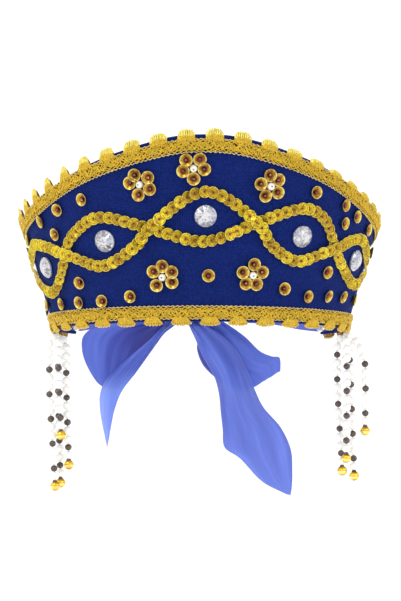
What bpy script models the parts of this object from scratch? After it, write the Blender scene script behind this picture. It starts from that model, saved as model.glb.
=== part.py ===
"""A kokoshnik headdress: a flared cloth crown with braid, sequins, stones, bead strands and a ribbon bow.

Metres, +Z up. The wearer faces -Y and +X is the photograph's right. The origin is the middle of the lower
rim's plane, where the crown sits on the head. Heights on the crown are measured along its slope.
"""
import bisect
from math import asin, cos, hypot, pi, radians, sin, sqrt

import bmesh
import bpy
from mathutils import Matrix, Vector

# Crown: the lower rim is part of an ellipse, and the wall leans outward all round
RIM_HALF_WIDTH = 0.0875
RIM_HALF_DEPTH = 0.077
FLARE_ANGLE = radians(16.4)
WRAP_ANGLE = radians(119)
FRONT_HEIGHT = 0.1087
WALL = 0.003
CROWN_STEPS = 60

# Clearance between pieces that touch on the real headdress
GAP = 0.0003

# Gimp braid: a flat band with scallops along its outer edge
BRAID_BAND = 0.007
BRAID_THICKNESS = 0.0013
TOP_MARGIN = 0.0035
TOP_SCALLOP_RISE = 0.0062
BOTTOM_MARGIN = 0.0022
BOTTOM_SCALLOP_RISE = 0.0042
SCALLOP_PITCH = 0.0161
TOP_SHIFT_SHARE = -0.19
BOTTOM_SHIFT_SHARE = 0.19

# Strings of overlapping sequins
SEQUIN_DIAMETER = 0.007
SEQUIN_PITCH = 0.0055
SEQUIN_STACK = 0.0014
STRING_END_GAP = 0.001
OVERPASS_HALF_LENGTH = 0.0065
OVERPASS_RAMP = 0.006

# Cup sequins, sewn singly and in flowers of five round a pearl
CUP_DIAMETER = 0.008
CUP_FLOOR_DIAMETER = 0.004
CUP_HEIGHT = 0.0012
CUP_FOIL = 0.0006
CUP_SIDES = 10
PETAL_RING_RADIUS = 0.006
PETAL_STEP = 0.00012
PEARL_DIAMETER = 0.005
FLOWER_REACH = PETAL_RING_RADIUS + CUP_DIAMETER / 2

# Round cut stones with foil backs
STONE_DIAMETER = 0.0126
STONE_TABLE_DIAMETER = 0.0062
STONE_GIRDLE = 0.001
STONE_HEIGHT = 0.0034
STONE_SHOULDER_SHARE = 0.62
STONE_FACETS = 8

# Bead strands, four on each side; a tube has a station at every few beads
BEAD_DIAMETER = 0.005
END_BEAD_DIAMETER = 0.0068
THREAD_DIAMETER = 0.0012
THREAD_LENGTH = 0.0026
THREAD_SPACING = 0.0018
BEADS_PER_STATION = 2.6
STRAND_DROP = 0.0937
STRAND_ANGLE = radians(86)

# Ribbons behind the crown: two ties, a knot, two loops and two tails
RIBBON_THICKNESS = 0.001
TIE_WIDTH = 0.026
TIE_OVERLAP = 0.016
TIE_START_RISE = 0.001
KNOT_WIDTH = 0.018
KNOT_DEPTH = 0.013
KNOT_HEIGHT = 0.014
KNOT_OFF_CENTRE = 0.009
KNOT_RISE = 0.0164
KNOT_GRIP_SHARE = 0.6
LEFT_LOOP_DROP = 0.0464
RIGHT_LOOP_DROP = 0.0482
LEFT_TAIL_DROP = 0.0845
RIGHT_TAIL_DROP = 0.1145
BUTTON_DIAMETER = 0.0092
BUTTON_HEIGHT = 0.0029

# Foot and crest of the figure that the sequin strings make: it leaves room for a row of cup sequins below
# it and for a flower above it
FIGURE_FOOT = BOTTOM_MARGIN + BRAID_BAND + CUP_DIAMETER + SEQUIN_DIAMETER / 2 + 2 * GAP
FIGURE_CREST = FRONT_HEIGHT - TOP_MARGIN - BRAID_BAND - 2 * FLOWER_REACH - SEQUIN_DIAMETER / 2

# Upper edge of the cloth: along as a share of the half length, up as a share of the front height
TOP_EDGE = [
    # along, up
    (0.00, 1.000),
    (0.06, 0.995),
    (0.12, 0.977),
    (0.24, 0.922),
    (0.36, 0.855),
    (0.475, 0.777),
    (0.545, 0.731),
    (0.62, 0.686),
    (0.76, 0.624),
    (0.89, 0.575),
    (1.00, 0.530),
]

# The figure is one closed string, cut at its outer tips: share of the half length, then from foot to crest
OVER_STRING = [
    # along, up
    (-0.664, 0.505),
    (-0.611, 0.558),
    (-0.463, 0.419),
    (-0.329, 0.240),
    (-0.2135, 0.425),
    (-0.145, 0.678),
    (0.000, 1.014),
    (0.145, 0.702),
    (0.2017, 0.447),
    (0.297, 0.294),
    (0.427, 0.477),
    (0.553, 0.607),
    (0.6495, 0.415),
]
UNDER_STRING = [
    # along, up
    (0.668, 0.282),
    (0.635, 0.142),
    (0.570, 0.115),
    (0.486, 0.275),
    (0.424, 0.501),
    (0.368, 0.761),
    (0.285, 0.867),
    (0.148, 0.687),
    (0.000, 0.481),
    (-0.154, 0.618),
    (-0.308, 0.769),
    (-0.409, 0.613),
    (-0.459, 0.436),
    (-0.510, 0.163),
    (-0.587, 0.004),
    (-0.700, 0.172),
    (-0.718, 0.387),
]

# Places of the stones, in the same shares
STONES = [
    # along, up
    (-0.590, 0.287),
    (-0.307, 0.508),
    (0.001, 0.750),
    (0.300, 0.562),
    (0.561, 0.366),
]
# Places of the sequins: share of the half length, then of the room for them between the two braids
FLOWERS = [
    # along, up, petal angles in degrees
    (-0.177, 0.965, (121, 38, -28, -104, 170)),
    (-0.032, 1.015, (133, 54, -6, -90, -164)),
    (0.177, 0.953, (93, 38, -34, -113, 170)),
    (-0.130, 0.110, (90, 27, -31, -129, 148)),
    (0.148, 0.133, (84, 17, -62, -125, 166)),
]
CUP_SEQUINS = [
    # along, up
    (-0.360, 0.932),
    (-0.458, 0.976),
    (-0.550, 0.997),
    (-0.491, 0.763),
    (-0.695, 0.990),
    (-0.785, 0.946),
    (0.321, 0.956),
    (0.437, 0.997),
    (0.501, 0.980),
    (0.451, 0.832),
    (0.593, 0.983),
    (0.757, 0.915),
    (0.011, 0.169),
    (-0.243, 0.030),
    (-0.350, 0.001),
    (-0.449, 0.005),
    (-0.547, 0.010),
    (-0.683, 0.038),
    (-0.429, 0.202),
    (-0.806, 0.008),
    (0.263, 0.099),
    (0.358, 0.050),
    (0.450, 0.079),
    (0.538, 0.102),
    (0.654, 0.108),
    (0.422, 0.308),
]

# One scallop of the braid: place as a share of the pitch, rise as a share of the scallop's rise
SCALLOP = [
    # place, rise
    (-0.29, 0.0),
    (-0.23, 0.85),
    (-0.09, 1.0),
    (0.09, 1.0),
    (0.23, 0.85),
    (0.29, 0.0),
]

# Strands: drop as a share of the longest, offsets outward and backward in bead diameters
STRAND_MIDDLE_SHARE = 0.4
STRANDS = {
    "left": [
        # drop, out and back at top, out and back at middle, out and back at foot
        (1.00, 0.95, 0.00, 0.85, -0.10, 0.10, -0.55),
        (0.679, -0.15, -0.90, -0.25, -1.00, -0.60, -1.20),
        (0.865, -1.05, 0.00, -1.15, 0.00, -1.50, 0.10),
        (0.979, -0.10, 1.00, -0.15, 1.05, -0.50, 0.95),
    ],
    "right": [
        # drop, out and back at top, out and back at middle, out and back at foot
        (0.823, 0.20, -0.90, 0.25, -0.90, 0.15, -0.90),
        (0.648, 1.35, -0.20, 2.60, -0.10, 2.50, 0.00),
        (0.935, 0.50, 0.65, 0.90, 0.60, 1.20, 0.30),
        (0.902, -0.80, 0.10, -0.80, 0.20, -0.20, 0.60),
    ],
}

# Ties from the crown's back corners to the knot, the same on both sides
TIE = [
    # way from corner to knot, lower edge and upper edge in tie widths
    (0.20, 0.05, 1.00),
    (0.40, 0.19, 1.10),
    (0.60, 0.33, 1.16),
    (0.80, 0.42, 1.06),
]

# A button's profile as shares of its radius and its height
BUTTON_PROFILE = [
    # radius, height
    (0.0, 0.0),
    (1.0, 0.0),
    (1.0, 0.45),
    (0.72, 0.83),
    (0.0, 1.0),
]

# Loops: edges, depth and opening as shares of the loop's drop below the knot
LEFT_LOOP = [
    # left edge along and up, right edge along and up, depth of the middle, half opening
    (-0.62, -0.10, -0.30, -0.15, 0.09, 0.10),
    (-1.10, -0.13, -0.34, -0.28, 0.14, 0.16),
    (-1.34, -0.28, -0.40, -0.42, 0.18, 0.20),
    (-1.37, -0.49, -0.50, -0.59, 0.19, 0.19),
    (-1.30, -0.71, -0.63, -0.78, 0.18, 0.15),
    (-1.17, -0.92, -0.80, -0.94, 0.17, 0.08),
    (-1.07, -1.00, -0.88, -1.00, 0.16, 0.0),
]
RIGHT_LOOP = [
    # left edge along and up, right edge along and up, depth of the middle, half opening
    (0.22, -0.28, 0.54, -0.10, 0.09, 0.10),
    (0.20, -0.45, 0.82, -0.29, 0.14, 0.16),
    (0.29, -0.67, 1.02, -0.48, 0.18, 0.20),
    (0.50, -0.86, 1.18, -0.55, 0.19, 0.18),
    (0.74, -0.97, 1.29, -0.57, 0.18, 0.11),
    (0.88, -1.00, 1.30, -0.74, 0.16, 0.0),
]

# Tails: edges and depths as shares of the tail's drop, and the depth of the lengthwise fold between them
LEFT_TAIL = [
    # left edge along, up, depth, right edge along, up, depth, fold depth
    (-0.250, -0.200, -0.04, -0.132, -0.150, -0.06, -0.04),
    (-0.430, -0.350, -0.05, -0.200, -0.240, -0.10, -0.08),
    (-0.560, -0.480, -0.05, -0.345, -0.445, -0.15, -0.10),
    (-0.610, -0.590, -0.05, -0.450, -0.585, -0.19, -0.09),
    (-0.615, -0.700, -0.04, -0.503, -0.722, -0.22, -0.07),
    (-0.595, -0.835, -0.03, -0.530, -0.850, -0.22, -0.05),
    (-0.560, -1.000, -0.01, -0.545, -0.930, -0.20, -0.03),
]
RIGHT_TAIL = [
    # left edge along, up, depth, right edge along, up, depth, fold depth
    (0.075, -0.145, -0.04, 0.200, -0.110, -0.04, -0.05),
    (0.115, -0.240, -0.05, 0.290, -0.195, -0.05, -0.09),
    (0.175, -0.345, -0.05, 0.350, -0.300, -0.06, -0.10),
    (0.202, -0.440, -0.05, 0.397, -0.419, -0.07, -0.09),
    (0.212, -0.540, -0.05, 0.446, -0.520, -0.07, -0.07),
    (0.223, -0.640, -0.04, 0.540, -0.628, -0.06, -0.05),
    (0.234, -0.738, -0.03, 0.597, -0.750, -0.05, -0.03),
    (0.320, -0.800, -0.03, 0.606, -0.870, -0.04, -0.02),
    (0.440, -0.925, -0.02, 0.604, -0.950, -0.03, -0.01),
    (0.575, -0.995, -0.01, 0.598, -1.000, -0.02, 0.00),
]

bpy.context.preferences.edit.use_global_undo = False
for old in list(bpy.data.objects):
    bpy.data.objects.remove(old)


def linear(hex_colour):
    """Turns an sRGB hex colour into the linear values that a shader takes."""
    channels = [int(hex_colour[i:i + 2], 16) / 255 for i in (1, 3, 5)]
    return [c / 12.92 if c <= 0.04045 else ((c + 0.055) / 1.055) ** 2.4 for c in channels] + [1.0]


def finish(name, hex_colour, roughness, metallic=0.0):
    """Makes a plain Principled BSDF material."""
    made = bpy.data.materials.new(name)
    made.use_nodes = True
    shader = made.node_tree.nodes["Principled BSDF"]
    shader.inputs["Base Color"].default_value = linear(hex_colour)
    shader.inputs["Roughness"].default_value = roughness
    shader.inputs["Metallic"].default_value = metallic
    return made


CROWN_CLOTH = finish("royal blue woven cloth", "#14217a", 0.85)
GOLD_BRAID = finish("gold metallised braid", "#d9a928", 0.45, 0.6)
GOLD_SEQUIN = finish("bright gold sequin", "#e0b322", 0.25, 0.8)
AMBER_SEQUIN = finish("amber gold cup sequin", "#b87a1c", 0.3, 0.7)
CUT_STONE = finish("foil backed cut stone", "#e6e8f0", 0.08, 0.4)
PEARL = finish("white pearl bead", "#f6f3e8", 0.25)
CLEAR_BUTTON = finish("clear plastic button", "#e8e2cf", 0.15)
SATIN_RIBBON = finish("periwinkle blue satin ribbon", "#5f76d6", 0.5)


def add_piece(name, mesh, material, crease=radians(40)):
    """Links a mesh as one named piece, shaded smooth with sharp creases."""
    mesh.name = name
    mesh.materials.clear()
    mesh.materials.append(material)
    mesh.shade_smooth()
    mesh.set_sharp_from_angle(angle=crease)
    piece = bpy.data.objects.new(name, mesh)
    bpy.context.scene.collection.objects.link(piece)
    return piece


def rim_rate(turn):
    """Length of rim for each radian of turn round the ellipse."""
    return hypot(RIM_HALF_WIDTH * cos(turn), RIM_HALF_DEPTH * sin(turn))


RIM_SAMPLES = 480
RIM_TURNS = [WRAP_ANGLE * i / RIM_SAMPLES for i in range(RIM_SAMPLES + 1)]
RIM_LENGTHS = [0.0]
for first, second in zip(RIM_TURNS, RIM_TURNS[1:]):
    step_rate = rim_rate((first + second) / 2)
    RIM_LENGTHS.append(RIM_LENGTHS[-1] + step_rate * (second - first))
HALF_LENGTH = RIM_LENGTHS[-1]


def turn_at(along):
    """Turn round the ellipse at a share of the rim's half length, negative to the left."""
    length = min(abs(along), 1.0) * HALF_LENGTH
    place = min(max(bisect.bisect_left(RIM_LENGTHS, length), 1), RIM_SAMPLES)
    low, high = RIM_LENGTHS[place - 1], RIM_LENGTHS[place]
    part = (length - low) / (high - low)
    turn = RIM_TURNS[place - 1] + part * (RIM_TURNS[place] - RIM_TURNS[place - 1])
    return turn if along >= 0 else -turn


def along_at(turn):
    """Share of the rim's half length at a turn round the ellipse."""
    place = min(max(bisect.bisect_left(RIM_TURNS, abs(turn)), 1), RIM_SAMPLES)
    low, high = RIM_TURNS[place - 1], RIM_TURNS[place]
    part = (abs(turn) - low) / (high - low)
    share = (RIM_LENGTHS[place - 1] + part * (RIM_LENGTHS[place] - RIM_LENGTHS[place - 1])) / HALF_LENGTH
    return share if turn >= 0 else -share


def crown_axes(along):
    """Directions on the crown: right round it, up its slope, and out of its face."""
    turn = turn_at(along)
    right = Vector((RIM_HALF_WIDTH * cos(turn), RIM_HALF_DEPTH * sin(turn), 0)).normalized()
    level = Vector((right.y, -right.x, 0))
    up = level * sin(FLARE_ANGLE) + Vector((0, 0, cos(FLARE_ANGLE)))
    out = level * cos(FLARE_ANGLE) - Vector((0, 0, sin(FLARE_ANGLE)))
    return right, up, out


def on_crown(along, up, lift=0.0):
    """Point on the crown at a share of the half length, a height up the slope and a lift off its face."""
    turn = turn_at(along)
    rim = Vector((RIM_HALF_WIDTH * sin(turn), -RIM_HALF_DEPTH * cos(turn), 0))
    slope = crown_axes(along)
    return rim + slope[1] * up + slope[2] * lift


def seat_on_crown(piece, along, up, lift=GAP):
    """Places a piece flat on the crown's face."""
    axes = Matrix(crown_axes(along)).transposed().to_4x4()
    piece.matrix_world = Matrix.Translation(on_crown(along, up, lift)) @ axes


def smooth_value(table, place):
    """Reads a smooth curve through the rows of a two column table, level at its first row."""
    places = [row[0] for row in table]
    k = min(max(bisect.bisect_right(places, place), 1), len(table) - 1)
    before = table[k - 2] if k > 1 else (-table[1][0], table[1][1])
    after = table[k + 1] if k + 1 < len(table) else None
    (x0, y0), (x1, y1) = table[k - 1], table[k]
    slope0 = (y1 - before[1]) / (x1 - before[0])
    slope1 = (after[1] - y0) / (after[0] - x0) if after else (y1 - y0) / (x1 - x0)
    u = (place - x0) / (x1 - x0)
    width = x1 - x0
    rise = (3 * u * u - 2 * u ** 3) * (y1 - y0) + y0
    return rise + width * ((u - 2 * u * u + u ** 3) * slope0 + (u ** 3 - u * u) * slope1)


def top_edge(along):
    """Slant height of the cloth's upper edge."""
    return FRONT_HEIGHT * smooth_value(TOP_EDGE, min(abs(along), 1.0))


def loft(name, sections, material):
    """Skins equal rings of points into one closed body with flat ends, faces outward."""
    bm = bmesh.new()
    rings = [[bm.verts.new(point) for point in section] for section in sections]
    count = len(rings[0])
    for first, second in zip(rings, rings[1:]):
        for i in range(count):
            j = (i + 1) % count
            bm.faces.new((first[i], first[j], second[j], second[i]))
    bm.faces.new(rings[0])
    bm.faces.new(rings[-1])
    bmesh.ops.recalc_face_normals(bm, faces=bm.faces)
    mesh = bpy.data.meshes.new(name)
    bm.to_mesh(mesh)
    bm.free()
    return add_piece(name, mesh, material)


def crown_section(along):
    """Four corners of the crown's wall at one place round it."""
    height = top_edge(along)
    return [
        on_crown(along, 0, 0),
        on_crown(along, height, 0),
        on_crown(along, height, -WALL),
        on_crown(along, 0, -WALL),
    ]


def crown_shell():
    places = [-1 + 2 * i / CROWN_STEPS for i in range(CROWN_STEPS + 1)]
    loft("crown_shell", [crown_section(along) for along in places], CROWN_CLOTH)


def edge_stretch(along, height_at):
    """How much longer a band that slopes with an edge measures up the crown than across itself."""
    step = 1 / RIM_SAMPLES
    ahead = on_crown(min(along + step, 1), height_at(min(along + step, 1)))
    behind = on_crown(max(along - step, -1), height_at(max(along - step, -1)))
    slant = (ahead - behind).normalized().dot(crown_axes(along)[1])
    return 1 / sqrt(1 - slant * slant)


def edge_lengths(height_at):
    """Places along an edge of the crown with the true length up to each."""
    places = [-1 + 2 * i / RIM_SAMPLES for i in range(RIM_SAMPLES + 1)]
    points = [on_crown(along, height_at(along)) for along in places]
    lengths = [0.0]
    for first, second in zip(points, points[1:]):
        lengths.append(lengths[-1] + (second - first).length)
    return places, lengths


def read_between(keys, values, key):
    """Straight line reading of values against rising keys."""
    k = min(max(bisect.bisect_left(keys, key), 1), len(keys) - 1)
    part = (key - keys[k - 1]) / (keys[k] - keys[k - 1])
    return values[k - 1] + part * (values[k] - values[k - 1])


def braid(name, height_at, side, rise, shift):
    """A band laid along an edge with scallops: side is 1 when they point up and -1 when they point down.

    The shift moves the scallops along the edge, as a share of their pitch.
    """
    places, lengths = edge_lengths(height_at)
    count = round(lengths[-1] / SCALLOP_PITCH)
    pitch = lengths[-1] / count
    stations = [(0.0, 0.0)]
    for i in range(count):
        stations += [((i + 0.5 + shift + place) * pitch, share) for place, share in SCALLOP]
    stations.append((lengths[-1], 0.0))
    sections = []
    for length, share in stations:
        along = read_between(lengths, places, length)
        outer = height_at(along)
        inner = outer - side * BRAID_BAND * edge_stretch(along, height_at)
        tip = outer + side * rise * share
        sections.append([
            on_crown(along, inner, GAP),
            on_crown(along, tip, GAP),
            on_crown(along, tip, GAP + BRAID_THICKNESS),
            on_crown(along, inner, GAP + BRAID_THICKNESS),
        ])
    loft(name, sections, GOLD_BRAID)


def braids():
    braid("top_braid", lambda along: top_edge(along) - TOP_MARGIN, 1, TOP_SCALLOP_RISE, TOP_SHIFT_SHARE)
    braid("bottom_braid", lambda along: BOTTOM_MARGIN, -1, BOTTOM_SCALLOP_RISE, BOTTOM_SHIFT_SHARE)


def figure_height(share):
    """Height up the crown at a share of the way from the figure's foot to its crest."""
    return FIGURE_FOOT + (FIGURE_CREST - FIGURE_FOOT) * share


def room_height(along, share, reach):
    """Height for the middle of a sewn piece at a share of the room for its reach between the braids."""
    low = BOTTOM_MARGIN + BRAID_BAND + reach + GAP
    high = top_edge(along) - TOP_MARGIN - (BRAID_BAND + reach) * edge_stretch(along, top_edge) - GAP
    return low + (high - low) * share


def spline_point(before, start, end, after, u):
    """Point on a smooth curve that passes through start and end."""
    pull = start * 2 + (end - before) * u
    bend = before * 2 - start * 5 + end * 4 - after
    turn = start * 3 - before - end * 3 + after
    return (pull + bend * u * u + turn * u ** 3) / 2


def string_routes():
    """Both sequin strings as fine lists of chart points, cut apart at the figure's outer tips."""
    chart = [Vector(row) for row in OVER_STRING + UNDER_STRING]
    total = len(chart)
    steps = 24
    routes = []
    for first, last in ((0, len(OVER_STRING)), (len(OVER_STRING), total)):
        route = []
        for i in range(first, last):
            around = [chart[(i + k) % total] for k in (-1, 0, 1, 2)]
            route += [spline_point(*around, step / steps) for step in range(steps)]
        route.append(chart[last % total])
        routes.append(route)
    return routes


def route_point(spot, lift=0.0):
    """Point on the crown for a chart point of shares."""
    return on_crown(spot[0], figure_height(spot[1]), lift)


def measure(route):
    """True lengths along a route of chart points."""
    points = [route_point(spot) for spot in route]
    lengths = [0.0]
    for first, second in zip(points, points[1:]):
        lengths.append(lengths[-1] + (second - first).length)
    return lengths


def crossings(route, other):
    """True lengths along a route where it crosses another one."""
    lengths = measure(route)
    found = []
    for k, (a, b) in enumerate(zip(route, route[1:])):
        for c, d in zip(other, other[1:]):
            run, reach = b - a, d - c
            area = run.cross(reach)
            if abs(area) < 1e-12:
                continue
            u = (c - a).cross(reach) / area
            v = (c - a).cross(run) / area
            if 0 <= u < 1 and 0 <= v < 1:
                found.append(lengths[k] + u * (lengths[k + 1] - lengths[k]))
    return found


def overpass(distance):
    """Share of the full lift at a distance from a crossing."""
    part = (distance - OVERPASS_HALF_LENGTH) / OVERPASS_RAMP
    part = min(max(part, 0.0), 1.0)
    return (1 + cos(pi * part)) / 2


def sequin_string(name, route, other=None):
    """A string of overlapping sequins as one strip with a scalloped outline, lifted over another string."""
    lengths = measure(route)
    count = int((lengths[-1] - STRING_END_GAP) / SEQUIN_PITCH)
    half_pitch = (lengths[-1] - STRING_END_GAP) / count / 2
    places = crossings(route, other) if other else []
    radius = SEQUIN_DIAMETER / 2
    notch = sqrt(radius ** 2 - half_pitch ** 2)
    columns = [[spot[i] for spot in route] for i in (0, 1)]
    sections = []
    for i in range(2 * count + 1):
        length = STRING_END_GAP / 2 + i * half_pitch
        along, up = [read_between(lengths, column, length) for column in columns]
        near = [max(min(length + k * half_pitch / 2, lengths[-1]), 0) for k in (-1, 1)]
        ends = [route_point([read_between(lengths, column, key) for column in columns]) for key in near]
        out = crown_axes(along)[2]
        across = out.cross((ends[1] - ends[0]).normalized()).normalized()
        half_width = radius if i % 2 else notch
        lift = GAP + max([overpass(abs(length - key)) for key in places], default=0) * (SEQUIN_STACK + GAP)
        low = route_point((along, up), lift)
        high = route_point((along, up), lift + SEQUIN_STACK)
        sections.append([
            low - across * half_width,
            low + across * half_width,
            high + across * half_width,
            high - across * half_width,
        ])
    loft(name, sections, GOLD_SEQUIN)


def sequin_strings():
    over, under = string_routes()
    sequin_string("sequin_string_over", over, under)
    sequin_string("sequin_string_under", under)


def turned(profile, sides):
    """Turns a profile of radius and height round Z: a closed body from pole to pole."""
    bm = bmesh.new()
    rings = []
    for radius, height in profile:
        if radius == 0:
            rings.append([bm.verts.new((0, 0, height))])
            continue
        angles = [2 * pi * i / sides for i in range(sides)]
        rings.append([bm.verts.new((radius * cos(a), radius * sin(a), height)) for a in angles])
    for first, second in zip(rings, rings[1:]):
        for i in range(sides):
            j = (i + 1) % sides
            corners = [(first, i), (first, j), (second, j), (second, i)]
            bm.faces.new(list(dict.fromkeys(ring[k % len(ring)] for ring, k in corners)))
    bmesh.ops.recalc_face_normals(bm, faces=bm.faces)
    mesh = bpy.data.meshes.new("turned")
    bm.to_mesh(mesh)
    bm.free()
    return mesh


def cup_mesh():
    """A dished sequin: a flat floor and a rim that rises round a shallow hollow."""
    return turned([
        (0, 0),
        (CUP_FLOOR_DIAMETER / 2, 0),
        (CUP_DIAMETER / 2, CUP_HEIGHT),
        (0, CUP_FOIL),
    ], CUP_SIDES)


def ball_profile(diameter, low, steps):
    """Profile of a ball whose lowest point is at a height."""
    radius = diameter / 2
    angles = [pi * i / steps for i in range(steps + 1)]
    rows = [(radius * sin(a), low + radius * (1 - cos(a))) for a in angles]
    return [(0, low)] + rows[1:-1] + [(0, low + diameter)]


def stone_mesh():
    """A round cut stone: flat back, girdle, eight kite facets, eight star facets and a table."""
    sides = 2 * STONE_FACETS
    girdle = STONE_DIAMETER / 2
    table = STONE_TABLE_DIAMETER / 2
    middle = (girdle + table) / 2
    shoulder = STONE_GIRDLE + (STONE_HEIGHT - STONE_GIRDLE) * STONE_SHOULDER_SHARE
    bm = bmesh.new()

    def ring(radius, height, count, shift):
        angles = [2 * pi * (i + shift) / count for i in range(count)]
        return [bm.verts.new((radius * cos(a), radius * sin(a), height)) for a in angles]

    back = ring(girdle, 0, sides, 0)
    upper = ring(girdle, STONE_GIRDLE, sides, 0)
    kites = ring(middle, shoulder, STONE_FACETS, 0)
    top = ring(table, STONE_HEIGHT, STONE_FACETS, 0.5)
    bm.faces.new(back)
    bm.faces.new(top)
    for i in range(sides):
        j = (i + 1) % sides
        bm.faces.new((back[i], back[j], upper[j], upper[i]))
    for i in range(STONE_FACETS):
        j = (i + 1) % STONE_FACETS
        before = upper[2 * i - 1]
        bm.faces.new((upper[2 * i], upper[2 * i + 1], kites[i]))
        bm.faces.new((before, upper[2 * i], kites[i]))
        bm.faces.new((upper[2 * i + 1], kites[j], top[i], kites[i]))
        bm.faces.new((kites[j], top[j], top[i]))
    bmesh.ops.recalc_face_normals(bm, faces=bm.faces)
    mesh = bpy.data.meshes.new("stone")
    bm.to_mesh(mesh)
    bm.free()
    return mesh


def stones():
    for number, (along, up) in enumerate(STONES, 1):
        piece = add_piece(f"crystal_{number}", stone_mesh(), CUT_STONE, crease=radians(2))
        seat_on_crown(piece, along, figure_height(up))


def cup_sequins():
    for number, (along, up) in enumerate(CUP_SEQUINS, 1):
        piece = add_piece(f"cup_sequin_{number:02d}", cup_mesh(), AMBER_SEQUIN)
        seat_on_crown(piece, along, room_height(along, up, CUP_DIAMETER / 2))


def fused(name, meshes, material):
    """Joins overlapping closed bodies into one."""
    target = add_piece(name, meshes[0], material)
    helpers = []
    for mesh in meshes[1:]:
        helper = add_piece("fused part", mesh, material)
        helper.hide_render = True
        helper.display_type = "WIRE"
        union = target.modifiers.new("union", "BOOLEAN")
        union.operation = "UNION"
        union.solver = "EXACT"
        union.object = helper
        helpers.append(helper)
    bpy.context.view_layer.update()
    joined = bpy.data.meshes.new_from_object(target.evaluated_get(bpy.context.evaluated_depsgraph_get()))
    bpy.data.objects.remove(target)
    for helper in helpers:
        bpy.data.objects.remove(helper)
    return add_piece(name, joined, material)


def flower_meshes(angles):
    """Five cups round a pearl, each a little above the one before."""
    meshes = []
    for i, angle in enumerate(angles):
        petal = cup_mesh()
        centre = Vector((cos(radians(angle)), sin(radians(angle)), 0)) * PETAL_RING_RADIUS
        turn = Matrix.Rotation(radians(angle), 4, "Z")
        petal.transform(Matrix.Translation(centre + Vector((0, 0, i * PETAL_STEP))) @ turn)
        meshes.append(petal)
    meshes.append(turned(ball_profile(PEARL_DIAMETER, PETAL_STEP, 6), CUP_SIDES))
    return meshes


def flowers():
    for number, (along, up, angles) in enumerate(FLOWERS, 1):
        piece = fused(f"flower_{number}", flower_meshes(angles), AMBER_SEQUIN)
        seat_on_crown(piece, along, room_height(along, up, FLOWER_REACH))


def tube(name, points, radii, material):
    """A round body along points, with a radius at each and filled ends."""
    curve = bpy.data.curves.new(name, "CURVE")
    curve.dimensions = "3D"
    curve.bevel_depth = BEAD_DIAMETER / 2
    curve.bevel_resolution = 2
    curve.use_fill_caps = True
    spline = curve.splines.new("POLY")
    spline.points.add(len(points) - 1)
    for spot, point, radius in zip(spline.points, points, radii):
        spot.co = (*point, 1)
        spot.radius = radius / curve.bevel_depth
    curve.materials.append(material)
    piece = bpy.data.objects.new(name, curve)
    bpy.context.scene.collection.objects.link(piece)
    return piece


def strand(name, hand, rank, row):
    """One strand: a thread from the rim, a tube of beads and a round end bead."""
    drop = row[0]
    along = along_at(hand * STRAND_ANGLE)
    right, up = crown_axes(along)[:2]
    gather = on_crown(along, 0, -WALL / 2)
    root = gather + right * (hand * rank * THREAD_SPACING)
    length = drop * STRAND_DROP - THREAD_LENGTH
    top, middle, foot = [Vector((hand * row[k], row[k + 1], 0)) * BEAD_DIAMETER for k in (1, 3, 5)]
    ball = END_BEAD_DIAMETER / 2
    thread = THREAD_DIAMETER / 2
    bead = BEAD_DIAMETER / 2
    points = [root - up * GAP, root - Vector((0, 0, THREAD_LENGTH))]
    radii = [thread, thread]
    steps = max(3, round(length / (BEADS_PER_STATION * BEAD_DIAMETER)))
    start = BEAD_DIAMETER / length
    end = 1 - (ball + bead) / length
    for i in range(steps + 1):
        share = end * (start + (1 - start) * i / steps)
        if share < STRAND_MIDDLE_SHARE:
            drift = top.lerp(middle, sin(pi / 2 * share / STRAND_MIDDLE_SHARE))
        else:
            drift = middle.lerp(foot, (share - STRAND_MIDDLE_SHARE) / (1 - STRAND_MIDDLE_SHARE))
        points.append(gather + drift - Vector((0, 0, THREAD_LENGTH + length * share)))
        radii.append(bead)
    neck = points[-1] - Vector((0, 0, bead / 2))
    for angle in [radians(degrees) for degrees in (26, 60, 90, 120, 154)]:
        points.append(neck - Vector((0, 0, ball * (1 - cos(angle)))))
        radii.append(ball * sin(angle))
    return tube(name, points, radii, PEARL)


def strands():
    for side, hand in (("left", -1), ("right", 1)):
        rows = STRANDS[side]
        backs = sorted(range(len(rows)), key=lambda k: rows[k][2])
        for k, row in enumerate(rows):
            rank = backs.index(k) - (len(rows) - 1) / 2
            strand(f"bead_strand_{side}_{k + 1}", hand, rank, row)


def cloth(name, rows, material):
    """A sheet of ribbon: rows of points across it, given its thickness to both sides."""
    bm = bmesh.new()
    grid = [[bm.verts.new(point) for point in row] for row in rows]
    for first, second in zip(grid, grid[1:]):
        for i in range(len(first) - 1):
            bm.faces.new((first[i], first[i + 1], second[i + 1], second[i]))
    mesh = bpy.data.meshes.new(name)
    bm.to_mesh(mesh)
    bm.free()
    piece = add_piece(name, mesh, material)
    thicken = piece.modifiers.new("thickness", "SOLIDIFY")
    thicken.thickness = RIBBON_THICKNESS
    thicken.offset = 0
    return piece


KNOT = Vector((-KNOT_OFF_CENTRE, RIM_HALF_DEPTH + GAP + (RIBBON_THICKNESS + KNOT_DEPTH) / 2, KNOT_RISE))


def by_knot(*direction):
    """Point just clear of the knot's surface in a direction from its middle."""
    way = Vector(direction).normalized()
    halves = Vector((KNOT_WIDTH, KNOT_DEPTH, KNOT_HEIGHT)) / 2
    reach = 1 / Vector([way[i] / halves[i] for i in range(3)]).length
    return KNOT + way * (reach + GAP + RIBBON_THICKNESS / 2)


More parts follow.
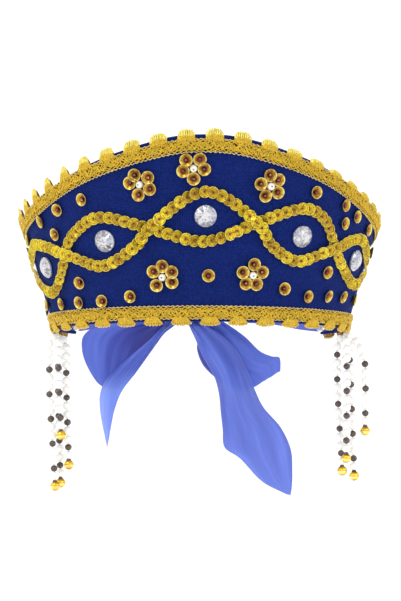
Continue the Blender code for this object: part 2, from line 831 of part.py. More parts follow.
def tie(name, hand):
    """A ribbon from inside the crown's back corner round to the front of the knot."""
    corner = hand * WRAP_ANGLE
    start = along_at(corner) - hand * TIE_OVERLAP / HALF_LENGTH
    places = (0, 1 / 3, 2 / 3, 1)
    rows = []
    for step in range(3):
        along = start + (along_at(corner) - start) * step / 2
        inset = -WALL - GAP - RIBBON_THICKNESS
        rows.append([on_crown(along, TIE_START_RISE + TIE_WIDTH * place, inset) for place in places])
    final = pi - hand * asin(KNOT.x / RIM_HALF_WIDTH)
    for way, low, high in TIE:
        turn = WRAP_ANGLE + (final - WRAP_ANGLE) * way
        inset = (WALL + GAP + RIBBON_THICKNESS) * (1 - way)
        lean = sin(FLARE_ANGLE) * (1 - way)
        level = Vector((hand * sin(turn), -cos(turn), 0))
        spot = level * Vector((RIM_HALF_WIDTH - inset, RIM_HALF_DEPTH - inset, 0))
        row = []
        for place in places:
            height = TIE_WIDTH * (low + (high - low) * place)
            row.append(spot + level * lean * height + Vector((0, 0, height)))
        rows.append(row)
    rises = [KNOT_GRIP_SHARE * (2 * place - 1) for place in places]
    rows.append([by_knot(hand * KNOT_GRIP_SHARE / 2, -1, rise) for rise in rises])
    return cloth(name, rows, SATIN_RIBBON)


def knot():
    """The knot of the bow: a rounded lump of ribbon."""
    mesh = turned(ball_profile(KNOT_WIDTH, 0, 8), 14)
    mesh.transform(Matrix.Diagonal((1, KNOT_DEPTH / KNOT_WIDTH, KNOT_HEIGHT / KNOT_WIDTH, 1)))
    mesh.transform(Matrix.Translation(KNOT - Vector((0, 0, KNOT_HEIGHT / 2))))
    add_piece("bow_knot", mesh, SATIN_RIBBON)


def loop(name, hand, table, drop):
    """A bow loop: out from the knot in front, round its fold and back to the knot behind."""
    places = (0, 0.25, 0.5, 0.75, 1)
    rises = [KNOT_GRIP_SHARE * (2 * place - 1) for place in places]
    front = [[by_knot(hand, 0, rise) for rise in rises]]
    back = [[by_knot(hand, KNOT_GRIP_SHARE, rise) for rise in rises]]
    for left_along, left_up, right_along, right_up, depth, opening in table:
        left = Vector((left_along, depth, left_up)) * drop
        right = Vector((right_along, depth, right_up)) * drop
        for rows, sense in ((front, -1), (back, 1)):
            row = []
            for place in places:
                bulge = opening * (1 + sin(pi * place)) / 2
                row.append(KNOT + left.lerp(right, place) + Vector((0, sense * bulge * drop, 0)))
            rows.append(row)
    return cloth(name, front + back[-2::-1], SATIN_RIBBON)


def tail(name, hand, table, drop):
    """A hanging end of the bow with one soft lengthwise fold."""
    places = (0, 0.25, 0.5, 0.75, 1)
    sides = [(0.08 + 0.64 * place) * hand for place in places[::hand]]
    rows = [[by_knot(side, -0.25, -1) for side in sides]]
    for left_along, left_up, left_depth, right_along, right_up, right_depth, fold in table:
        left = Vector((left_along, left_depth, left_up)) * drop
        right = Vector((right_along, right_depth, right_up)) * drop
        row = []
        for place in places:
            row.append(KNOT + left.lerp(right, place) + Vector((0, fold * sin(pi * place) * drop, 0)))
        rows.append(row)
    return cloth(name, rows, SATIN_RIBBON)


def button(name, hand):
    """A small domed button on the inner face of the tie at the crown's corner."""
    radius = BUTTON_DIAMETER / 2
    profile = [(radius * wide, BUTTON_HEIGHT * high) for wide, high in BUTTON_PROFILE]
    along = hand * (1 - (radius + WALL / 3) / HALF_LENGTH)
    right, up, out = crown_axes(along)
    inset = WALL + 2 * GAP + 1.5 * RIBBON_THICKNESS
    axes = Matrix((right, -up, -out)).transposed().to_4x4()
    piece = add_piece(name, turned(profile, 12), CLEAR_BUTTON)
    piece.matrix_world = Matrix.Translation(on_crown(along, radius, -inset)) @ axes


def ribbons():
    for side, hand in (("left", -1), ("right", 1)):
        tie(f"tie_{side}", hand)
        button(f"ribbon_button_{side}", hand)
    knot()
    loop("bow_loop_left", -1, LEFT_LOOP, LEFT_LOOP_DROP)
    loop("bow_loop_right", 1, RIGHT_LOOP, RIGHT_LOOP_DROP)
    tail("bow_tail_left", -1, LEFT_TAIL, LEFT_TAIL_DROP)
    tail("bow_tail_right", 1, RIGHT_TAIL, RIGHT_TAIL_DROP)


crown_shell()
braids()
sequin_strings()
stones()
flowers()
cup_sequins()
strands()
ribbons()
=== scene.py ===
"""The looks of a kokoshnik headdress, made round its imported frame, in the order in which it is sewn together.

Metres, +Z up. The wearer faces -Y, and +X is on the right from the front. The origin is mid rim, at the foot.
"""

import bisect
import itertools
import random
from math import asin, cos, pi, radians, sin, sqrt

import bmesh
import bpy
import numpy as np
from mathutils import Matrix, Vector


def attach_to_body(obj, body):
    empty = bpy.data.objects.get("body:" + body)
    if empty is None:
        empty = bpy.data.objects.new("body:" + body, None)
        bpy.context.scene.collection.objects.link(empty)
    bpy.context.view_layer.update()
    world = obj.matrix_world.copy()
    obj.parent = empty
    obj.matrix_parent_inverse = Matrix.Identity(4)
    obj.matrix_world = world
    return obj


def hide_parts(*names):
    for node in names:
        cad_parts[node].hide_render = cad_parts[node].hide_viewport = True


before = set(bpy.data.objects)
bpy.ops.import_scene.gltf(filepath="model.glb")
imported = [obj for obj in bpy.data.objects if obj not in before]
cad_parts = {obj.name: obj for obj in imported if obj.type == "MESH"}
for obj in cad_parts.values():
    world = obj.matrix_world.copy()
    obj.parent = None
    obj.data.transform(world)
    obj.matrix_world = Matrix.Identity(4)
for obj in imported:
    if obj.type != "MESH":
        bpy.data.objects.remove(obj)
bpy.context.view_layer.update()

# Crown
# A stiff panel of royal blue cotton in plain weave, flared outward and bent three quarters of the way round
# the head. Both faces are the same cloth, and its edges are turned and pressed, which rounds them.
RIM_HALF_WIDTH = 0.0875
RIM_HALF_DEPTH = 0.077
FLARE_ANGLE = radians(16.4)
WRAP_ANGLE = radians(119)
FRONT_HEIGHT = 0.1087
WALL = 0.003
GAP = 0.0003
CLOTH_SAG = 0.00022
# The cloth's edge is turned in under the braid, a little everywhere and more on the flanks. They start at a
# share of the half length, and the turn grows over another share.
EDGE_TURNED_IN = 0.0012
FLANK_TURNED_IN = 0.0014
FLANK_START, FLANK_RUN = 0.1, 0.3
THREAD_SPACING = 0.00085  # the real threads lie 0.4 mm apart, too fine to show
TOP_EDGE = [
    # along as a share of the half length, up as a share of the front height
    (0.00, 1.000),
    (0.06, 0.995),
    (0.12, 0.977),
    (0.24, 0.922),
    (0.36, 0.855),
    (0.475, 0.777),
    (0.545, 0.731),
    (0.62, 0.686),
    (0.76, 0.624),
    (0.89, 0.575),
    (1.00, 0.530),
]

rim_turns = np.linspace(0, WRAP_ANGLE, 481)
rim_rates = np.hypot(RIM_HALF_WIDTH * np.cos(rim_turns), RIM_HALF_DEPTH * np.sin(rim_turns))
rim_lengths = np.concatenate([[0], np.cumsum((rim_rates[1:] + rim_rates[:-1]) / 2 * np.diff(rim_turns))])
HALF_LENGTH = rim_lengths[-1]


def crown_axes(along):
    """Rim points and the directions right, up the slope and out of the face, at shares of the half length."""
    along = np.asarray(along, float)
    turn = np.sign(along) * np.interp(np.abs(along) * HALF_LENGTH, rim_lengths, rim_turns)
    zero = np.zeros_like(turn)
    rim = np.stack([RIM_HALF_WIDTH * np.sin(turn), -RIM_HALF_DEPTH * np.cos(turn), zero], -1)
    right = np.stack([RIM_HALF_WIDTH * np.cos(turn), RIM_HALF_DEPTH * np.sin(turn), zero], -1)
    right /= np.linalg.norm(right, axis=-1, keepdims=True)
    level = np.stack([right[..., 1], -right[..., 0], zero], -1)
    rise = np.array([0, 0, 1.0])
    up = level * sin(FLARE_ANGLE) + rise * cos(FLARE_ANGLE)
    out = level * cos(FLARE_ANGLE) - rise * sin(FLARE_ANGLE)
    return rim, right, up, out


def on_crown(along, height, lift=0.0):
    """Points on the crown at shares of the half length, heights up the slope and lifts off the face."""
    rim, right, up, out = crown_axes(along)
    return rim + up * np.asarray(height, float)[..., None] + out * np.asarray(lift, float)[..., None]


def smooth_value(table, place):
    """Reads a smooth curve through the rows of a two column table, level at its first row."""
    places = [row[0] for row in table]
    k = min(max(bisect.bisect_right(places, place), 1), len(table) - 1)
    before = table[k - 2] if k > 1 else (-table[1][0], table[1][1])
    after = table[k + 1] if k + 1 < len(table) else None
    (x0, y0), (x1, y1) = table[k - 1], table[k]
    slope0 = (y1 - before[1]) / (x1 - before[0])
    slope1 = (after[1] - y0) / (after[0] - x0) if after else (y1 - y0) / (x1 - x0)
    u = (place - x0) / (x1 - x0)
    rise = (3 * u * u - 2 * u ** 3) * (y1 - y0) + y0
    return rise + (x1 - x0) * ((u - 2 * u * u + u ** 3) * slope0 + (u ** 3 - u * u) * slope1)


def top_edge(along):
    """Slant height of the cloth's upper edge."""
    return FRONT_HEIGHT * np.vectorize(lambda a: smooth_value(TOP_EDGE, min(abs(a), 1.0)))(along)


def colour(hex_colour):
    """Linear colour of an sRGB hex value."""
    channels = [int(hex_colour[i:i + 2], 16) / 255 for i in (1, 3, 5)]
    return [c / 12.92 if c <= 0.04045 else ((c + 0.055) / 1.055) ** 2.4 for c in channels] + [1.0]


def setting(value):
    """A socket's value, with a hex colour turned to linear."""
    return colour(value) if str(value).startswith("#") else value


def finish(name, **values):
    """A new Principled material with single values on the shader's own sockets."""
    made = bpy.data.materials.new(name)
    made.use_nodes = True
    shader = made.node_tree.nodes["Principled BSDF"]
    for socket, value in values.items():
        shader.inputs[socket.replace("_", " ")].default_value = setting(value)
    return made, made.node_tree, shader


def link(made, sources):
    """Links sockets, or nodes by their first output in use, into a node's own sockets."""
    for key, source in dict(sources).items():
        if not isinstance(source, bpy.types.NodeSocket):
            source = next(output for output in source.outputs if output.enabled)
        made.id_data.links.new(source, made.inputs[key])


def node(tree, kind, settings=(), links=()):
    """Adds a node with its settings, by property or socket, and its links into sockets.

    The stops of a colour ramp are pairs of a place and a hex colour.
    """
    made = tree.nodes.new(kind)
    for key, value in dict(settings).items():
        if key == "stops":
            for place, shade in value[2:]:
                made.color_ramp.elements.new(place)
            for element, (place, shade) in zip(made.color_ramp.elements, sorted(value)):
                element.position = place
                element.color = colour(shade)
        elif isinstance(key, str) and hasattr(made, key):
            setattr(made, key, value)
        else:
            made.inputs[key].default_value = setting(value)
    link(made, links)
    return made


# Settings of the node that mixes colours: its share is socket 0, and its two colours are sockets 6 and 7
MIXED = {"data_type": "RGBA"}
MULTIPLIED = {"data_type": "RGBA", "blend_type": "MULTIPLY"}


def plain_weave(tree, place, spacing):
    """Height of a plain weave: two sets of round threads that go over and under each other."""
    scaled = node(tree, "ShaderNodeVectorMath", {"operation": "SCALE", "Scale": 1 / spacing}, {0: place})
    parts = node(tree, "ShaderNodeSeparateXYZ", {}, {0: scaled})
    over = node(tree, "ShaderNodeTexChecker", {"Scale": 1.0}, {"Vector": scaled}).outputs["Fac"]
    under = node(tree, "ShaderNodeMath", {"operation": "SUBTRACT", 0: 1.0}, {1: over})
    rows, lifted = [], []
    for k, share in enumerate((over, under)):
        turns = node(tree, "ShaderNodeMath", {"operation": "MULTIPLY", 1: pi}, {0: parts.outputs[k]})
        wave = node(tree, "ShaderNodeMath", {"operation": "SINE"}, {0: turns})
        rows.append(node(tree, "ShaderNodeMath", {"operation": "ABSOLUTE"}, {0: wave}))
        lifted.append(node(tree, "ShaderNodeMath", {"operation": "MULTIPLY"}, {0: rows[k], 1: share}))
    lower = node(tree, "ShaderNodeMath", {"operation": "MINIMUM"}, dict(enumerate(rows)))
    crossed = node(tree, "ShaderNodeMath", {"operation": "MULTIPLY", 1: 0.5}, {0: lower})
    raised = node(tree, "ShaderNodeMath", {"operation": "ADD"}, dict(enumerate(lifted)))
    return node(tree, "ShaderNodeMath", {"operation": "MAXIMUM"}, {0: raised, 1: crossed})


def shown(name, mesh):
    """A new object with a mesh, in the scene."""
    piece = bpy.data.objects.new(name, mesh)
    bpy.context.scene.collection.objects.link(piece)
    return piece


def faced_out(mesh, merge=False):
    """Turns the faces of a mesh outward, once its doubles are merged where it has any."""
    bm = bmesh.new()
    bm.from_mesh(mesh)
    if merge:
        bmesh.ops.remove_doubles(bm, verts=bm.verts, dist=1e-7)
    bmesh.ops.recalc_face_normals(bm, faces=bm.faces)
    bm.to_mesh(mesh)
    bm.free()


def skin(name, grid, uv, look, caps=False, tint=None):
    """A surface through rows of points, with a UV pair in metres at each.

    Rows that end where they start close up. A painted shading at each point, from -1 for painted shadow to 1
    for painted light, is kept as an attribute.
    """
    grid, uv = np.asarray(grid, float), np.asarray(uv, float)
    rows, columns = grid.shape[:2]
    index = np.arange(rows * columns).reshape(rows, columns)
    quads = np.stack([index[:-1, :-1], index[:-1, 1:], index[1:, 1:], index[1:, :-1]], -1)
    faces = quads.reshape(-1, 4).tolist()
    if caps:
        faces += [index[0].tolist(), index[-1].tolist()]
    mesh = bpy.data.meshes.new(name)
    mesh.from_pydata(grid.reshape(-1, 3).tolist(), [], faces)
    layer = mesh.uv_layers.new(name="cloth")
    corners = np.zeros(len(mesh.loops), np.int32)
    mesh.loops.foreach_get("vertex_index", corners)
    layer.data.foreach_set("uv", uv.reshape(-1, 2)[corners].ravel())
    if tint is not None:
        kept = mesh.attributes.new("tint", "FLOAT", "POINT")
        kept.data.foreach_set("value", np.asarray(tint, np.float32).ravel())
    faced_out(mesh, merge=True)
    mesh.shade_smooth()
    mesh.materials.append(look)
    return shown(name, mesh)


def attach(piece, slot, *nodes):
    """Fixes a finished piece to the body and hides the solids that it stands for. Its slot is not used."""
    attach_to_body(piece, "root")
    if nodes:
        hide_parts(*nodes)
    return piece


# The cotton is dull and even, its weave painted with shade in the hollows between threads and painted light on
# their crowns, with flecks of about a millimetre and a faint fade where it was handled
blue_cotton, tree, shader = finish("royal blue cotton in plain weave", Roughness=0.85, Sheen_Weight=0.03,
                                   Sheen_Roughness=0.5, Sheen_Tint="#6f83e8", Specular_IOR_Level=0.12)
place = node(tree, "ShaderNodeUVMap", {"uv_map": "cloth"})
weave = plain_weave(tree, place, THREAD_SPACING)
coords = node(tree, "ShaderNodeTexCoord").outputs["Object"]
fade = node(tree, "ShaderNodeTexNoise", {"Scale": 14.0, "Detail": 3.0}, {"Vector": coords})
fleck = node(tree, "ShaderNodeTexNoise", {"Scale": 900.0, "Detail": 2.0}, {"Vector": coords})
# Painted shade in the weave's hollows and painted light on the threads' crowns
threads = node(tree, "ShaderNodeValToRGB", {"stops": [(0.1, "#020c34"), (0.55, "#061d5c"), (1.0, "#102b76")]},
               {0: weave})
handled = node(tree, "ShaderNodeMath", {"operation": "MULTIPLY", 1: 0.55}, {0: fade})
faded = node(tree, "ShaderNodeMix", {**MIXED, 7: "#0b267a"}, {0: handled, 6: threads})
flecked = node(tree, "ShaderNodeValToRGB", {"stops": [(0.35, "#b4bcc8"), (0.65, "#ffffff")]}, {0: fleck})
cloth = node(tree, "ShaderNodeMix", {**MULTIPLIED, 0: 1.0}, {6: faded, 7: flecked})
raised = node(tree, "ShaderNodeBump", {"Strength": 0.7, "Distance": 0.00025}, {"Height": weave})
link(shader, {"Base Color": cloth, "Normal": raised})


def crown_cloth():
    """The panel as one closed skin: outer face, turned top, inner face, turned rim, and both ends."""
    radius = WALL / 2
    end = 1 - radius / HALF_LENGTH
    thin = [0.35, 0.8]
    near_end = 1 - 0.4 * (1 - end)
    along = np.concatenate([[-1, -near_end], np.linspace(-end, end, 241), [near_end, 1]])
    thickness = np.concatenate([thin, np.ones(241), thin[::-1]])
    face = np.linspace(0, 1, 40)
    turn = np.linspace(0, pi, 7)[1:-1]
    height, lift = [], []
    flank = np.clip((np.abs(along) - FLANK_START) / FLANK_RUN, 0, 1)
    top = top_edge(along) - EDGE_TURNED_IN - FLANK_TURNED_IN * flank
    for share in face:
        height.append(radius + (top - 2 * radius) * share)
        lift.append(np.zeros_like(top))
    for angle in turn:
        height.append(top - radius + radius * sin(angle))
        lift.append(radius * (cos(angle) - 1) + 0 * top)
    for share in face[::-1]:
        height.append(radius + (top - 2 * radius) * share)
        lift.append(0 * top - WALL)
    for angle in turn[::-1]:
        height.append(radius - radius * sin(angle) + 0 * top)
        lift.append(radius * (cos(angle) - 1) + 0 * top)
    height, lift = np.stack(height, 1), np.stack(lift, 1)
    lift = (lift + radius) * thickness[:, None] - radius
    wide = along[:, None] + 0 * height
    sag = CLOTH_SAG * (0.5 + 0.5 * np.sin(wide * 31 + height * 140) * np.sin(height * 95 - wide * 17))
    grid = on_crown(wide, height, lift - sag)
    grid = np.concatenate([grid, grid[:, :1]], 1)
    wide = np.concatenate([wide, wide[:, :1]], 1)
    steps = np.linalg.norm(np.diff(grid, axis=1), axis=2)
    girth = np.concatenate([np.zeros((len(along), 1)), np.cumsum(steps, 1)], 1)
    piece = skin("crown_cloth", grid, np.stack([wide * HALF_LENGTH, girth], -1), blue_cotton, caps=True)
    attach(piece, "crown_cloth", "crown_shell")
    return piece


crown_cloth()

# Sequin strings
# Flat round sequins of bright gold metallised film, strung on a thread so that they overlap like scales, then
# couched to the cloth in two waves that cross. Each sequin is held by a stitch over its rim.
SEQUIN_DIAMETER = 0.007
SEQUIN_HOLE = 0.0011
SEQUIN_FILM = 0.00016
SEQUIN_CUP = 0.00045
SEQUIN_FILM_SHARE = 1.07
SEQUIN_PITCH = 0.0051
SEQUIN_TILT = radians(22)
SEQUIN_STRAY = 0.0004
STRING_LIFT = 0.0011
OVERPASS_HALF_LENGTH = 0.0065
OVERPASS_RAMP = 0.006
OVERPASS_LIFT = 0.0019
CROSSING_REACH = 0.0012
BOTTOM_MARGIN = 0.0022
BRAID_BAND = 0.007
TOP_MARGIN = 0.0035
CUP_DIAMETER = 0.008
CUP_FILM_SHARE = 0.96
PETAL_RING_RADIUS = 0.006
FLOWER_REACH = PETAL_RING_RADIUS + CUP_DIAMETER / 2
FIGURE_FOOT = BOTTOM_MARGIN + BRAID_BAND + CUP_DIAMETER + SEQUIN_DIAMETER / 2 + 2 * GAP
FIGURE_CREST = FRONT_HEIGHT - TOP_MARGIN - BRAID_BAND - 2 * FLOWER_REACH - SEQUIN_DIAMETER / 2
OVER_STRING = [
    # along as a share of the half length, share of the way from the figure's foot to its crest
    (-0.664, 0.505),
    (-0.611, 0.558),
    (-0.463, 0.419),
    (-0.329, 0.240),
    (-0.2135, 0.425),
    (-0.145, 0.678),
    (0.000, 1.014),
    (0.145, 0.702),
    (0.2017, 0.447),
    (0.297, 0.294),
    (0.427, 0.477),
    (0.553, 0.607),
    (0.6495, 0.415),
]
UNDER_STRING = [
    # along, share from foot to crest
    (0.668, 0.282),
    (0.635, 0.142),
    (0.570, 0.115),
    (0.486, 0.275),
    (0.424, 0.501),
    (0.368, 0.761),
    (0.285, 0.867),
    (0.148, 0.687),
    (0.000, 0.481),
    (-0.154, 0.618),
    (-0.308, 0.769),
    (-0.409, 0.613),
    (-0.459, 0.436),
    (-0.510, 0.163),
    (-0.587, 0.004),
    (-0.700, 0.172),
    (-0.718, 0.387),
]


def spline(points, steps, closed=False):
    """A smooth curve through a list of points of any width, with a number of steps between each two."""
    points = np.asarray(points, float)
    if closed:
        points = np.concatenate([points[-1:], points, points[:2]])
    else:
        points = np.concatenate([2 * points[:1] - points[1:2], points, 2 * points[-1:] - points[-2:-1]])
    u = np.linspace(0, 1, steps, endpoint=False).reshape(-1, *[1] * (points.ndim - 1))
    runs = []
    for a, b, c, d in zip(points, points[1:], points[2:], points[3:]):
        bend = a * 2 - b * 5 + c * 4 - d
        runs.append((b * 2 + (c - a) * u + bend * u * u + (b * 3 - a - c * 3 + d) * u ** 3) / 2)
    return np.concatenate(runs + [points[-2:-1]])


def run_lengths(points):
    """How far along a line of points each of them lies."""
    return np.concatenate([[0], np.cumsum(np.linalg.norm(np.diff(points, axis=0), axis=1))])


def even(points, pitch, *values):
    """Points at an even pitch along a line, with values read at the same places."""
    points = np.asarray(points, float)
    lengths = run_lengths(points)
    count = max(1, round(lengths[-1] / pitch))
    keys = (np.arange(count) + 0.5) * lengths[-1] / count
    return [np.stack([np.interp(keys, lengths, column) for column in table.T], -1)
            for table in (points, *values)]


def string_routes():
    """Chart routes of both strings: one closed figure cut apart at its two outer tips."""
    steps = 24
    figure = spline(OVER_STRING + UNDER_STRING, steps, closed=True)
    cut = len(OVER_STRING) * steps
    return figure[:cut + 1], figure[cut:]


def figure_points(route, lift):
    """Points on the crown for chart points of the figure."""
    height = FIGURE_FOOT + (FIGURE_CREST - FIGURE_FOOT) * route[:, 1]
    return on_crown(route[:, 0], height, lift)


def near_crossing(points, others):
    """Share of the full lift at each point of a line, from its distance to where another one crosses it."""
    apart = np.linalg.norm(points[:, None] - others[None], axis=2).min(1)
    lows = [k for k in range(1, len(points) - 1)
            if apart[k] < CROSSING_REACH and apart[k - 1] >= apart[k] < apart[k + 1]]
    lengths = run_lengths(points)
    away = np.min([np.abs(lengths - lengths[k]) for k in lows], axis=0)
    part = np.clip((away - OVERPASS_HALF_LENGTH) / OVERPASS_RAMP, 0, 1)
    return (1 + np.cos(pi * part)) / 2


def turned(name, profile, sides, look):
    """A solid of revolution round Z. Each point keeps its shares of radius and height, as reach and rise."""
    verts, faces, rings, reaches, rises = [], [], [], [], []
    widest = max(radius for radius, height in profile)
    low, high = [pick(height for radius, height in profile) for pick in (min, max)]
    for radius, height in profile:
        ring = []
        for i in range(1 if radius == 0 else sides):
            angle = 2 * pi * i / sides
            ring.append(len(verts))
            verts.append((radius * cos(angle), radius * sin(angle), height))
            reaches.append(radius / widest)
            rises.append((height - low) / (high - low))
        rings.append(ring)
    around = rings[1:] + rings[:1] if profile[0][0] else rings[1:]
    for first, second in zip(rings, around):
        for i in range(sides):
            j = (i + 1) % sides
            corners = [(first, i), (first, j), (second, j), (second, i)]
            faces.append(list(dict.fromkeys(ring[k % len(ring)] for ring, k in corners)))
    mesh = bpy.data.meshes.new(name)
    mesh.from_pydata(verts, [], faces)
    for label, values in (("reach", reaches), ("rise", rises)):
        kept = mesh.attributes.new(label, "FLOAT", "POINT")
        kept.data.foreach_set("value", values)
    faced_out(mesh)
    mesh.shade_smooth()
    mesh.set_sharp_from_angle(angle=radians(50))
    mesh.materials.append(look)
    return bpy.data.objects.new(name, mesh)


def empty_tree(name, **kinds):
    """A Geometry Nodes tree that takes and gives geometry, with the identifiers of its named inputs."""
    tree = bpy.data.node_groups.new(name, "GeometryNodeTree")
    sockets = {}
    for label, kind in {"Geometry": "Geometry", **kinds, "Material": "Material"}.items():
        made = tree.interface.new_socket(label.replace("_", " "), in_out="INPUT",
                                         socket_type=f"NodeSocket{kind}")
        sockets[label] = made.identifier
    tree.interface.new_socket("Geometry", in_out="OUTPUT", socket_type="NodeSocketGeometry")
    return tree, sockets


def sewing_tree():
    """Geometry Nodes that set a piece at every point, its Z along "out" and X along "run", a little askew."""
    tree, sockets = empty_tree("sewn at points", Piece="Object", Tilt="Float", Askew="Float",
                               Size_Spread="Float", Seed="Int")
    given = node(tree, "NodeGroupInput").outputs
    out, run = [node(tree, "GeometryNodeInputNamedAttribute", {"data_type": "FLOAT_VECTOR", "Name": label})
                for label in ("out", "run")]
    facing = node(tree, "FunctionNodeAxesToRotation", {"primary_axis": "Z", "secondary_axis": "X"},
                  {"Primary Axis": out.outputs[0], "Secondary Axis": run.outputs[0]})
    low = node(tree, "ShaderNodeMath", {"operation": "MULTIPLY", 1: -1.0}, {0: given["Askew"]})
    jolt = node(tree, "FunctionNodeRandomValue", {"data_type": "FLOAT_VECTOR"},
                {0: low.outputs[0], 1: given["Askew"], "Seed": given["Seed"]})
    lean = node(tree, "ShaderNodeCombineXYZ", {}, {"Y": given["Tilt"]})
    total = node(tree, "ShaderNodeVectorMath", {"operation": "ADD"}, {0: jolt.outputs[0], 1: lean.outputs[0]})
    turn = node(tree, "FunctionNodeEulerToRotation", {}, {0: total.outputs[0]})
    askew = node(tree, "FunctionNodeRotateRotation", {"rotation_space": "LOCAL"},
                 {"Rotation": facing.outputs[0], "Rotate By": turn.outputs[0]})
    least = node(tree, "ShaderNodeMath", {"operation": "SUBTRACT", 0: 1.0}, {1: given["Size Spread"]})
    size = node(tree, "FunctionNodeRandomValue", {"data_type": "FLOAT", 3: 1.0},
                {2: least.outputs[0], "Seed": given["Seed"]})
    source = node(tree, "GeometryNodeObjectInfo", {"transform_space": "ORIGINAL"}, {"Object": given["Piece"]})
    placed = node(tree, "GeometryNodeInstanceOnPoints", {},
                  {"Points": given["Geometry"], "Instance": source.outputs["Geometry"],
                   "Rotation": askew.outputs[0], "Scale": size.outputs[1]})
    number = node(tree, "GeometryNodeInputIndex")
    tone = node(tree, "FunctionNodeRandomValue", {"data_type": "FLOAT"},
                {"ID": number.outputs[0], "Seed": given["Seed"]})
    marked = node(tree, "GeometryNodeStoreNamedAttribute",
                  {"domain": "INSTANCE", "data_type": "FLOAT", "Name": "tone"},
                  {"Geometry": placed.outputs[0], "Value": tone.outputs[1]})
    real = node(tree, "GeometryNodeRealizeInstances", {}, {0: marked.outputs[0]})
    dressed = node(tree, "GeometryNodeSetMaterial", {},
                   {"Geometry": real.outputs[0], "Material": given["Material"]})
    node(tree, "NodeGroupOutput", {}, {0: dressed.outputs[0]})
    return tree, sockets


def made_plain(name, base, tree, sockets, **values):
    """Runs a node tree on a mesh and keeps the result as a plain mesh object."""
    carrier = shown(name + " base", base)
    modifier = carrier.modifiers.new("made", "NODES")
    modifier.node_group = tree
    for label, value in values.items():
        modifier[sockets[label]] = value
    bpy.context.view_layer.update()
    mesh = bpy.data.meshes.new_from_object(carrier.evaluated_get(bpy.context.evaluated_depsgraph_get()))
    bpy.data.objects.remove(carrier)
    mesh.name = name
    return shown(name, mesh)


sewn_tree, sewn_sockets = sewing_tree()


def sewn(name, points, outs, runs, piece, look, tilt=0.0, askew=0.0, spread=0.0, seed=1):
    """A copy of a piece at every point, as one plain mesh."""
    base = bpy.data.meshes.new(name)
    base.from_pydata(np.asarray(points).tolist(), [], [])
    for label, values in (("out", outs), ("run", runs)):
        held = base.attributes.new(label, "FLOAT_VECTOR", "POINT")
        held.data.foreach_set("vector", np.ascontiguousarray(values, np.float32).ravel())
    return made_plain(name, base, sewn_tree, sewn_sockets, Piece=piece, Tilt=tilt, Askew=askew,
                      Size_Spread=spread, Seed=seed, Material=look)


# Metallised film is smooth and mirror-like, but thin and dented every millimetre, so each sequin catches
# another tone
gold_film, tree, shader = finish("bright gold metallised film", Metallic=0.5, Roughness=0.3)
tone = node(tree, "ShaderNodeAttribute", {"attribute_name": "tone"}).outputs["Fac"]
reach = node(tree, "ShaderNodeAttribute", {"attribute_name": "reach"}).outputs["Fac"]
coords = node(tree, "ShaderNodeTexCoord").outputs["Object"]
dents = node(tree, "ShaderNodeTexNoise", {"Scale": 950.0, "Detail": 2.0}, {"Vector": coords})
shade = node(tree, "ShaderNodeValToRGB", {"stops": [(0.0, "#b8a010"), (0.5, "#d6c418"), (1.0, "#f0e634")]},
             {0: tone})
# By share of the radius: painted shade toward the hole, a painted highlight near the rim and a painted shadow
# on the outer edge where the next disc overlaps
rings = node(tree, "ShaderNodeValToRGB",
             {"stops": [(0.16, "#8a4a10"), (0.36, "#d8ac40"), (0.66, "#f4dc80"), (0.80, "#9c7838"),
                        (0.88, "#ffffff"), (0.96, "#e8cc70"), (1.0, "#3a2806")]}, {0: reach})
worn = node(tree, "ShaderNodeValToRGB", {"stops": [(0.36, "#8a7222"), (0.54, "#ffffff")]}, {0: dents})
ringed = node(tree, "ShaderNodeMix", {**MULTIPLIED, 0: 0.75}, {6: shade, 7: rings})
# A painted highlight round each rim
at_rim = node(tree, "ShaderNodeMath", {"operation": "COMPARE", 1: 0.91, 2: 0.035}, {0: reach})
rim_light = node(tree, "ShaderNodeMath", {"operation": "MULTIPLY", 1: 0.42}, {0: at_rim})
glinting = node(tree, "ShaderNodeMix", {**MIXED, 7: "#f8e86c"}, {0: rim_light, 6: ringed})
film = node(tree, "ShaderNodeMix", {**MULTIPLIED, 0: 0.75}, {6: glinting, 7: worn})
raised = node(tree, "ShaderNodeBump", {"Strength": 0.6, "Distance": 0.0004}, {"Height": dents})
link(shader, {"Base Color": film, "Normal": raised})

# Polyester thread, twisted, in a dull ochre
ochre_thread, tree, shader = finish("ochre polyester thread", Roughness=0.6)
coords = node(tree, "ShaderNodeTexCoord").outputs["Object"]
twist = node(tree, "ShaderNodeTexWave", {"Scale": 900.0, "Distortion": 2.0}, {"Vector": coords})
strands = node(tree, "ShaderNodeValToRGB", {"stops": [(0.0, "#7c4a0c"), (1.0, "#b97a1e")]},
               {0: twist.outputs["Fac"]})
link(shader, {"Base Color": strands})


def sequin():
    """A thin disc, a little dished, with a small hole, a raised ring round its rim and rolled edges."""
    radius, hole = SEQUIN_DIAMETER / 2 * SEQUIN_FILM_SHARE, SEQUIN_HOLE / 2
    film, cup = SEQUIN_FILM, SEQUIN_CUP
    profile = [
        (hole, 0),
        (radius * 0.70, cup * 0.7),
        (radius * 0.92, cup),
        (radius, cup + film),
        (radius * 0.97, cup + film * 2.2),
        (radius * 0.88, cup + film * 2),
        (radius * 0.70, cup * 0.7 + film),
        (hole, film),
    ]
    return turned("sequin", profile[::-1], 24, gold_film)


def stitch():
    """A short thread from the hole over the rim."""
    thread = 0.00022
    bow = [(0.0, 0.0), (0.0009, 0.0007), (0.0023, 0.0008), (0.0036, 0.0)]
    turns = [2 * pi * k / 5 for k in range(6)]
    grid = np.array([[(x, thread * cos(a), z + thread * sin(a)) for a in turns] for x, z in bow])
    piece = skin("stitch", grid, grid[..., :2], ochre_thread, caps=True)
    bpy.context.scene.collection.objects.unlink(piece)
    return piece


